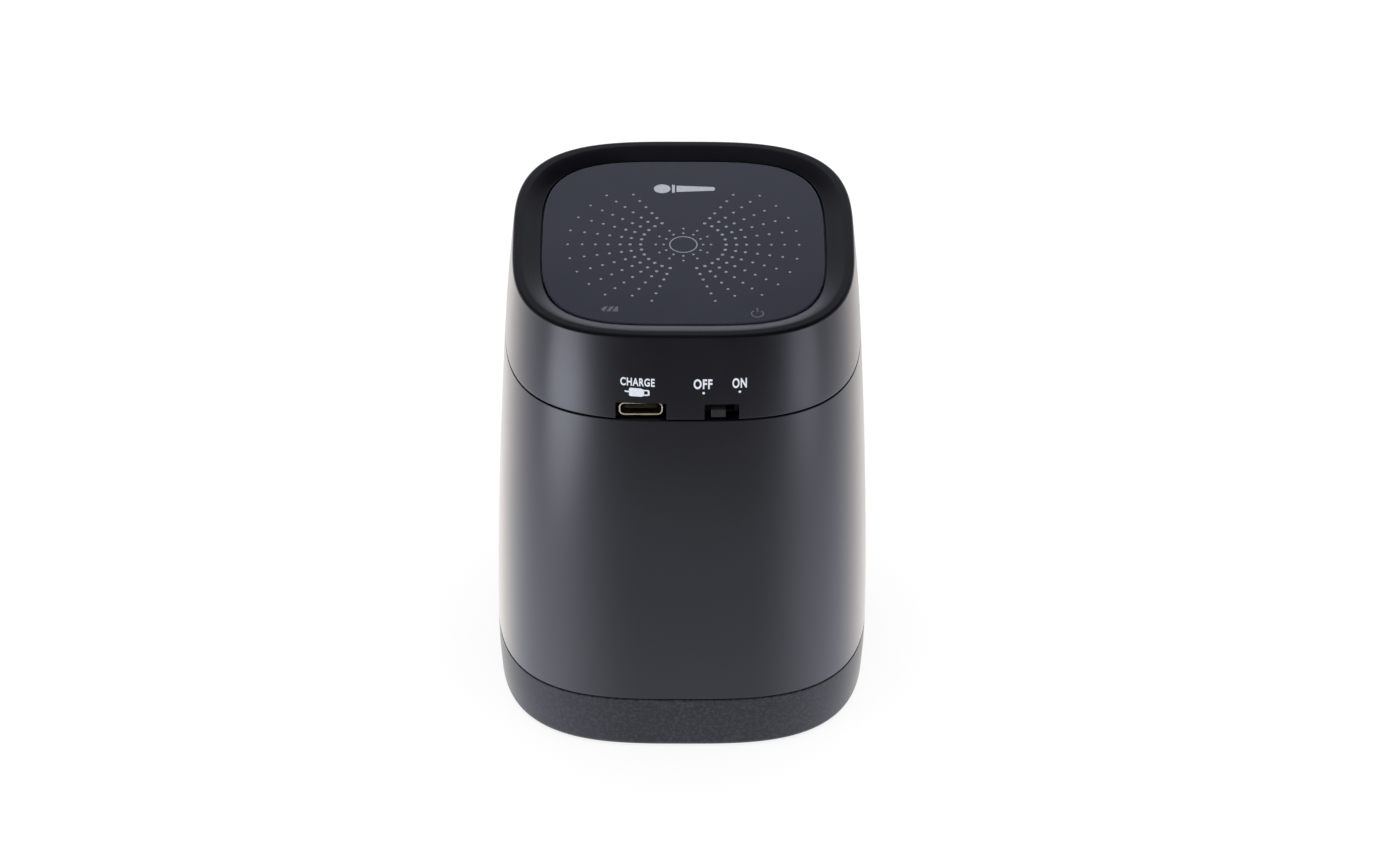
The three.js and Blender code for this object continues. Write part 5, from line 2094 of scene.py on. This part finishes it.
@dataclass
class Studio:
    """A plain white floor and a soft surround, with no lamp near the object.

    The camera sees both in white. Matte surfaces get the same soft light from all around, at which a colour
    renders as it is written. Glossy surfaces mirror a room that is drawn on the floor and on the surround: a
    white table that is dim in front of the object, two pale cards at the ends of that dim part, and a dark
    ceiling. Lengths are in metres, and the parts of a direction run from -1 to 1.

    Attributes:
        floor_half: Half the floor's width.
        floor_drop: How far it lies under the object, in millimetres.
        plain_level: Strength of the light on matte surfaces.
        white_level: Strength of the floor's own white, under which its shadow shows.
        paper: Colour of what the floor's paper throws back, which a shadow takes away.
        tints: The cool white that surfaces mirror in front, and the warmer one that they mirror behind.
        warming: Change from the cool to the warmer one, over how squarely behind the object's sides a place
            lies.
        sides: Half the width between the object's sides and the place along Y from which that is measured.
        wedge: Change from the dim front to the table beside, over how far round a place lies.
        wedge_skew: How much the dim part turns to the left, and how much the two sides lean in behind.
        table_near: The table's strength beside the object, from left to right.
        table_far: Its strength further out, from left to right.
        table_reach: Where it changes from one to the other, as distances from the object.
        table_front: Its strength in front, from far to near.
        front_foot: What is added to that close to the object.
        cards: The cards.
        ceiling: The surround's strength in mirrors, over the height of a direction.
        overhead: Its drop where the panel mirrors it.
        behind: Its rise from the front to the back.
        aside: Its drop from the middle to the sides.
        corner: Its drop high up at the right, which the rim's back left corner mirrors.
        corner_height: Height of a direction from which that drop grows.
    """

    floor_half: float = 4.0
    floor_drop: float = 0.02
    plain_level: float = 0.9
    white_level: float = 0.8
    paper: Colour = (0.3, 0.3, 0.3, 1.0)
    tints: tuple[str, str] = ("#ecf0ff", "#fffaf8")
    warming: Fade = Fade((-0.1, 0.95))
    sides: Flat = (0.036, -0.024)
    wedge: Fade = Fade((-0.36, 0.36))
    wedge_skew: Flat = (0.08, 0.6)
    table_near: Fade = Fade((-0.05, 0.05), (1.27, 1.1))
    table_far: Fade = Fade((-0.05, 0.05), (0.6, 0.48))
    table_reach: Flat = (0.04, 0.28)
    table_front: Fade = Fade((-0.212, -0.105), (0.1, 0.44))
    front_foot: Fade = Fade((-0.1, -0.05), (0.0, 0.1))
    cards: tuple[Card, ...] = (
        Card(2.4, (-0.167, -0.15, 0.0), (0.03, 0.1)),
        Card(1.0, (0.185, -0.145, 0.0), (0.03, 0.09)),
    )
    ceiling: Fade = Fade((0.02, 0.5), (0.5, 0.2))
    overhead: Fade = Fade((0.555, 0.6), (1.0, 0.3))
    behind: Fade = Fade((-0.5, 0.3), (0.2, 1.0))
    aside: Fade = Fade((0.15, 0.45), (1.15, 0.6))
    corner: Fade = Fade((0.01, 0.06), (1.0, 0.15))
    corner_height: float = 0.5

    def seen_by(
        self, tree: Tree, tint: object, matte: float, glossy: Socket, camera: float
    ) -> dict[str, Socket]:
        """Chooses a colour and a strength by the kind of ray that meets a surface.

        Args:
            tree: The floor's or the world's tree.
            tint: Colour in mirrors, metal and glass.
            matte: Strength for the light that falls on matte surfaces.
            glossy: Strength in mirrors, metal and glass.
            camera: Strength for the camera.

        Returns:
            The outputs for an emitter's Color and Strength.
        """
        rays = add_node(tree, "ShaderNodeLightPath").outputs
        either = {0: rays["Is Glossy Ray"], 1: rays["Is Transmission Ray"]}
        shiny = add_node(tree, "ShaderNodeMath", either, operation="MAXIMUM").outputs[0]
        level: object = matte
        for ray, strength in ((shiny, glossy), (rays["Is Camera Ray"], camera)):
            choice = {0: ray, 2: level, 3: strength}
            level = add_node(tree, "ShaderNodeMix", choice, data_type="FLOAT").outputs[0]
        colours = {"Factor": shiny, 6: linear("#ffffff"), 7: tint}
        colour = add_node(tree, "ShaderNodeMix", colours, data_type="RGBA")
        return {"Color": colour.outputs[2], "Strength": level}

    def table(self, tree: Tree, place: Socket, across: Socket, along: Socket) -> Socket:
        """Works out how bright the table is in mirrors: bright at the sides and behind, dim in front.

        Args:
            tree: The floor's tree.
            place: The place on the floor.
            across: Its X.
            along: Its Y.

        Returns:
            The output that holds the strength.
        """
        out = add_node(tree, "ShaderNodeVectorMath", {0: place}, operation="LENGTH").outputs["Value"]
        skew, lean = self.wedge_skew
        skewed = add_node(tree, "ShaderNodeMath", {0: along, 1: skew, 2: across}, operation="MULTIPLY_ADD")
        side = add_node(tree, "ShaderNodeMath", {0: skewed.outputs[0]}, operation="ABSOLUTE").outputs[0]
        leaning = add_node(tree, "ShaderNodeMath", {0: along, 1: lean, 2: side}, operation="MULTIPLY_ADD")
        turn = add_node(tree, "ShaderNodeMath", {0: leaning.outputs[0], 1: out}, operation="DIVIDE")
        front = add_node(
            tree,
            "ShaderNodeMath",
            {0: self.table_front.over(tree, along), 1: self.front_foot.over(tree, along)},
            operation="ADD",
        )
        near, far = self.table_near.over(tree, across), self.table_far.over(tree, across)
        beside = Fade(self.table_reach, (near, far)).over(tree, out)
        wedge = self.wedge.over(tree, turn.outputs[0])
        level = add_node(
            tree, "ShaderNodeMix", {0: wedge, 2: front.outputs[0], 3: beside}, data_type="FLOAT"
        ).outputs[0]
        for card in self.cards:
            apart = {0: place, 1: card.middle}
            away = add_node(tree, "ShaderNodeVectorMath", apart, operation="DISTANCE").outputs["Value"]
            added = Fade(card.edge, (card.level, 0.0)).over(tree, away)
            level = add_node(tree, "ShaderNodeMath", {0: level, 1: added}, operation="ADD").outputs[0]
        return level

    def table_tint(self, tree: Tree, across: Socket, along: Socket) -> Socket:
        """Works out the table's tint in mirrors: cool in front and beside, warmer behind.

        Args:
            tree: The floor's tree.
            across: X of a place on the floor.
            along: Its Y.

        Returns:
            The output that holds the colour.
        """
        half, start = self.sides
        side = add_node(tree, "ShaderNodeMath", {0: across}, operation="ABSOLUTE").outputs[0]
        beyond = add_node(tree, "ShaderNodeMath", {0: side, 1: half}, operation="SUBTRACT").outputs[0]
        aside = add_node(tree, "ShaderNodeMath", {0: beyond, 1: 0.0}, operation="MAXIMUM").outputs[0]
        back = add_node(tree, "ShaderNodeMath", {0: along, 1: start}, operation="SUBTRACT").outputs[0]
        away = add_node(tree, "ShaderNodeCombineXYZ", {"X": aside, "Y": back}).outputs[0]
        distance = add_node(tree, "ShaderNodeVectorMath", {0: away}, operation="LENGTH").outputs["Value"]
        squarely = add_node(tree, "ShaderNodeMath", {0: back, 1: distance}, operation="DIVIDE").outputs[0]
        cool, warm = (linear(tint) for tint in self.tints)
        shares = {"Factor": self.warming.over(tree, squarely), 6: cool, 7: warm}
        return add_node(tree, "ShaderNodeMix", shares, data_type="RGBA").outputs[2]

    def floor(self) -> None:
        """Lays the floor, which keeps the object's soft shadow and is clear from below."""
        build = bmesh.new()
        half = self.floor_half / MM
        corners = ((-half, -half), (half, -half), (half, half), (-half, half))
        build.faces.new([build.verts.new((*corner, -self.floor_drop)) for corner in corners])
        ground = mesh_object("studio_floor", build)
        # Matte white paper: the eye sees nothing of it but the soft shadow
        surface = bpy.data.materials.new("white_paper_floor")
        surface.use_nodes = True
        surface.cycles.emission_sampling = "NONE"
        tree = surface.node_tree
        tree.nodes.clear()
        place = add_node(tree, "ShaderNodeTexCoord").outputs["Object"]
        across, along, _ = add_node(tree, "ShaderNodeSeparateXYZ", {"Vector": place}).outputs
        tint, table = self.table_tint(tree, across, along), self.table(tree, place, across, along)
        lit = self.seen_by(tree, tint, self.plain_level, table, self.white_level)
        own = add_node(tree, "ShaderNodeEmission", lit).outputs[0]
        paper = add_node(tree, "ShaderNodeBsdfDiffuse", {"Color": self.paper}).outputs[0]
        both = add_node(tree, "ShaderNodeAddShader", {0: own, 1: paper}).outputs[0]
        camera = add_node(tree, "ShaderNodeLightPath").outputs["Is Camera Ray"]
        below = add_node(tree, "ShaderNodeNewGeometry").outputs["Backfacing"]
        clear = add_node(tree, "ShaderNodeBsdfTransparent").outputs[0]
        seen = own
        for choice, other in ((camera, both), (below, clear)):
            pair = {0: choice, 1: seen, 2: other}
            seen = add_node(tree, "ShaderNodeMixShader", pair).outputs[0]
        add_node(tree, "ShaderNodeOutputMaterial", {"Surface": seen})
        ground.data.materials.append(surface)

    def surround(self) -> None:
        """Sets the surround: in mirrors it is bright low behind the object and dark overhead and in front."""
        world = bpy.data.worlds.new("soft_surround")
        world.use_nodes = True
        world.cycles.sampling_method = "NONE"
        bpy.context.scene.world = world
        tree = world.node_tree
        tree.nodes.clear()
        direction = add_node(tree, "ShaderNodeTexCoord").outputs["Generated"]
        across, along, up = add_node(tree, "ShaderNodeSeparateXYZ", {"Vector": direction}).outputs
        side = add_node(tree, "ShaderNodeMath", {0: across}, operation="ABSOLUTE").outputs[0]
        over = {0: up, 1: self.corner_height}
        steep = add_node(tree, "ShaderNodeMath", over, operation="SUBTRACT").outputs[0]
        steep = add_node(tree, "ShaderNodeMath", {0: steep, 1: 0.0}, operation="MAXIMUM").outputs[0]
        right = add_node(tree, "ShaderNodeMath", {0: across, 1: steep}, operation="MULTIPLY").outputs[0]
        level = self.ceiling.over(tree, up)
        changes = ((self.overhead, up), (self.behind, along), (self.aside, side), (self.corner, right))
        for change, measure in changes:
            both = {0: level, 1: change.over(tree, measure)}
            level = add_node(tree, "ShaderNodeMath", both, operation="MULTIPLY").outputs[0]
        lit = self.seen_by(tree, linear(self.tints[0]), self.plain_level, level, 1.0)
        sky = add_node(tree, "ShaderNodeBackground", lit)
        add_node(tree, "ShaderNodeOutputWorld", {"Surface": sky.outputs[0]})

    def set_up(self) -> None:
        """Builds the studio."""
        self.floor()
        self.surround()
        bpy.context.scene.view_settings.view_transform = "Standard"


def main() -> None:
    """Builds every sub-assembly in order, dresses the rest and sets the studio."""
    logging.basicConfig(level=logging.INFO, format="%(message)s")
    outline = Outline()
    Camera().set_up()
    dress_carried(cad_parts)
    sub_assemblies: list[SubAssembly] = [
        RubberBoot(outline),
        BodySleeve(outline),
        HeadCover(outline),
        TouchPanel(),
        ChargeInlet(),
        SlideKnob(),
        WallPrint(outline),
        MouthSeal(),
        ChamberLiner(),
    ]
    for sub_assembly in sub_assemblies:
        sub_assembly.build()
    Studio().set_up()


if __name__ == "__main__":
    main()
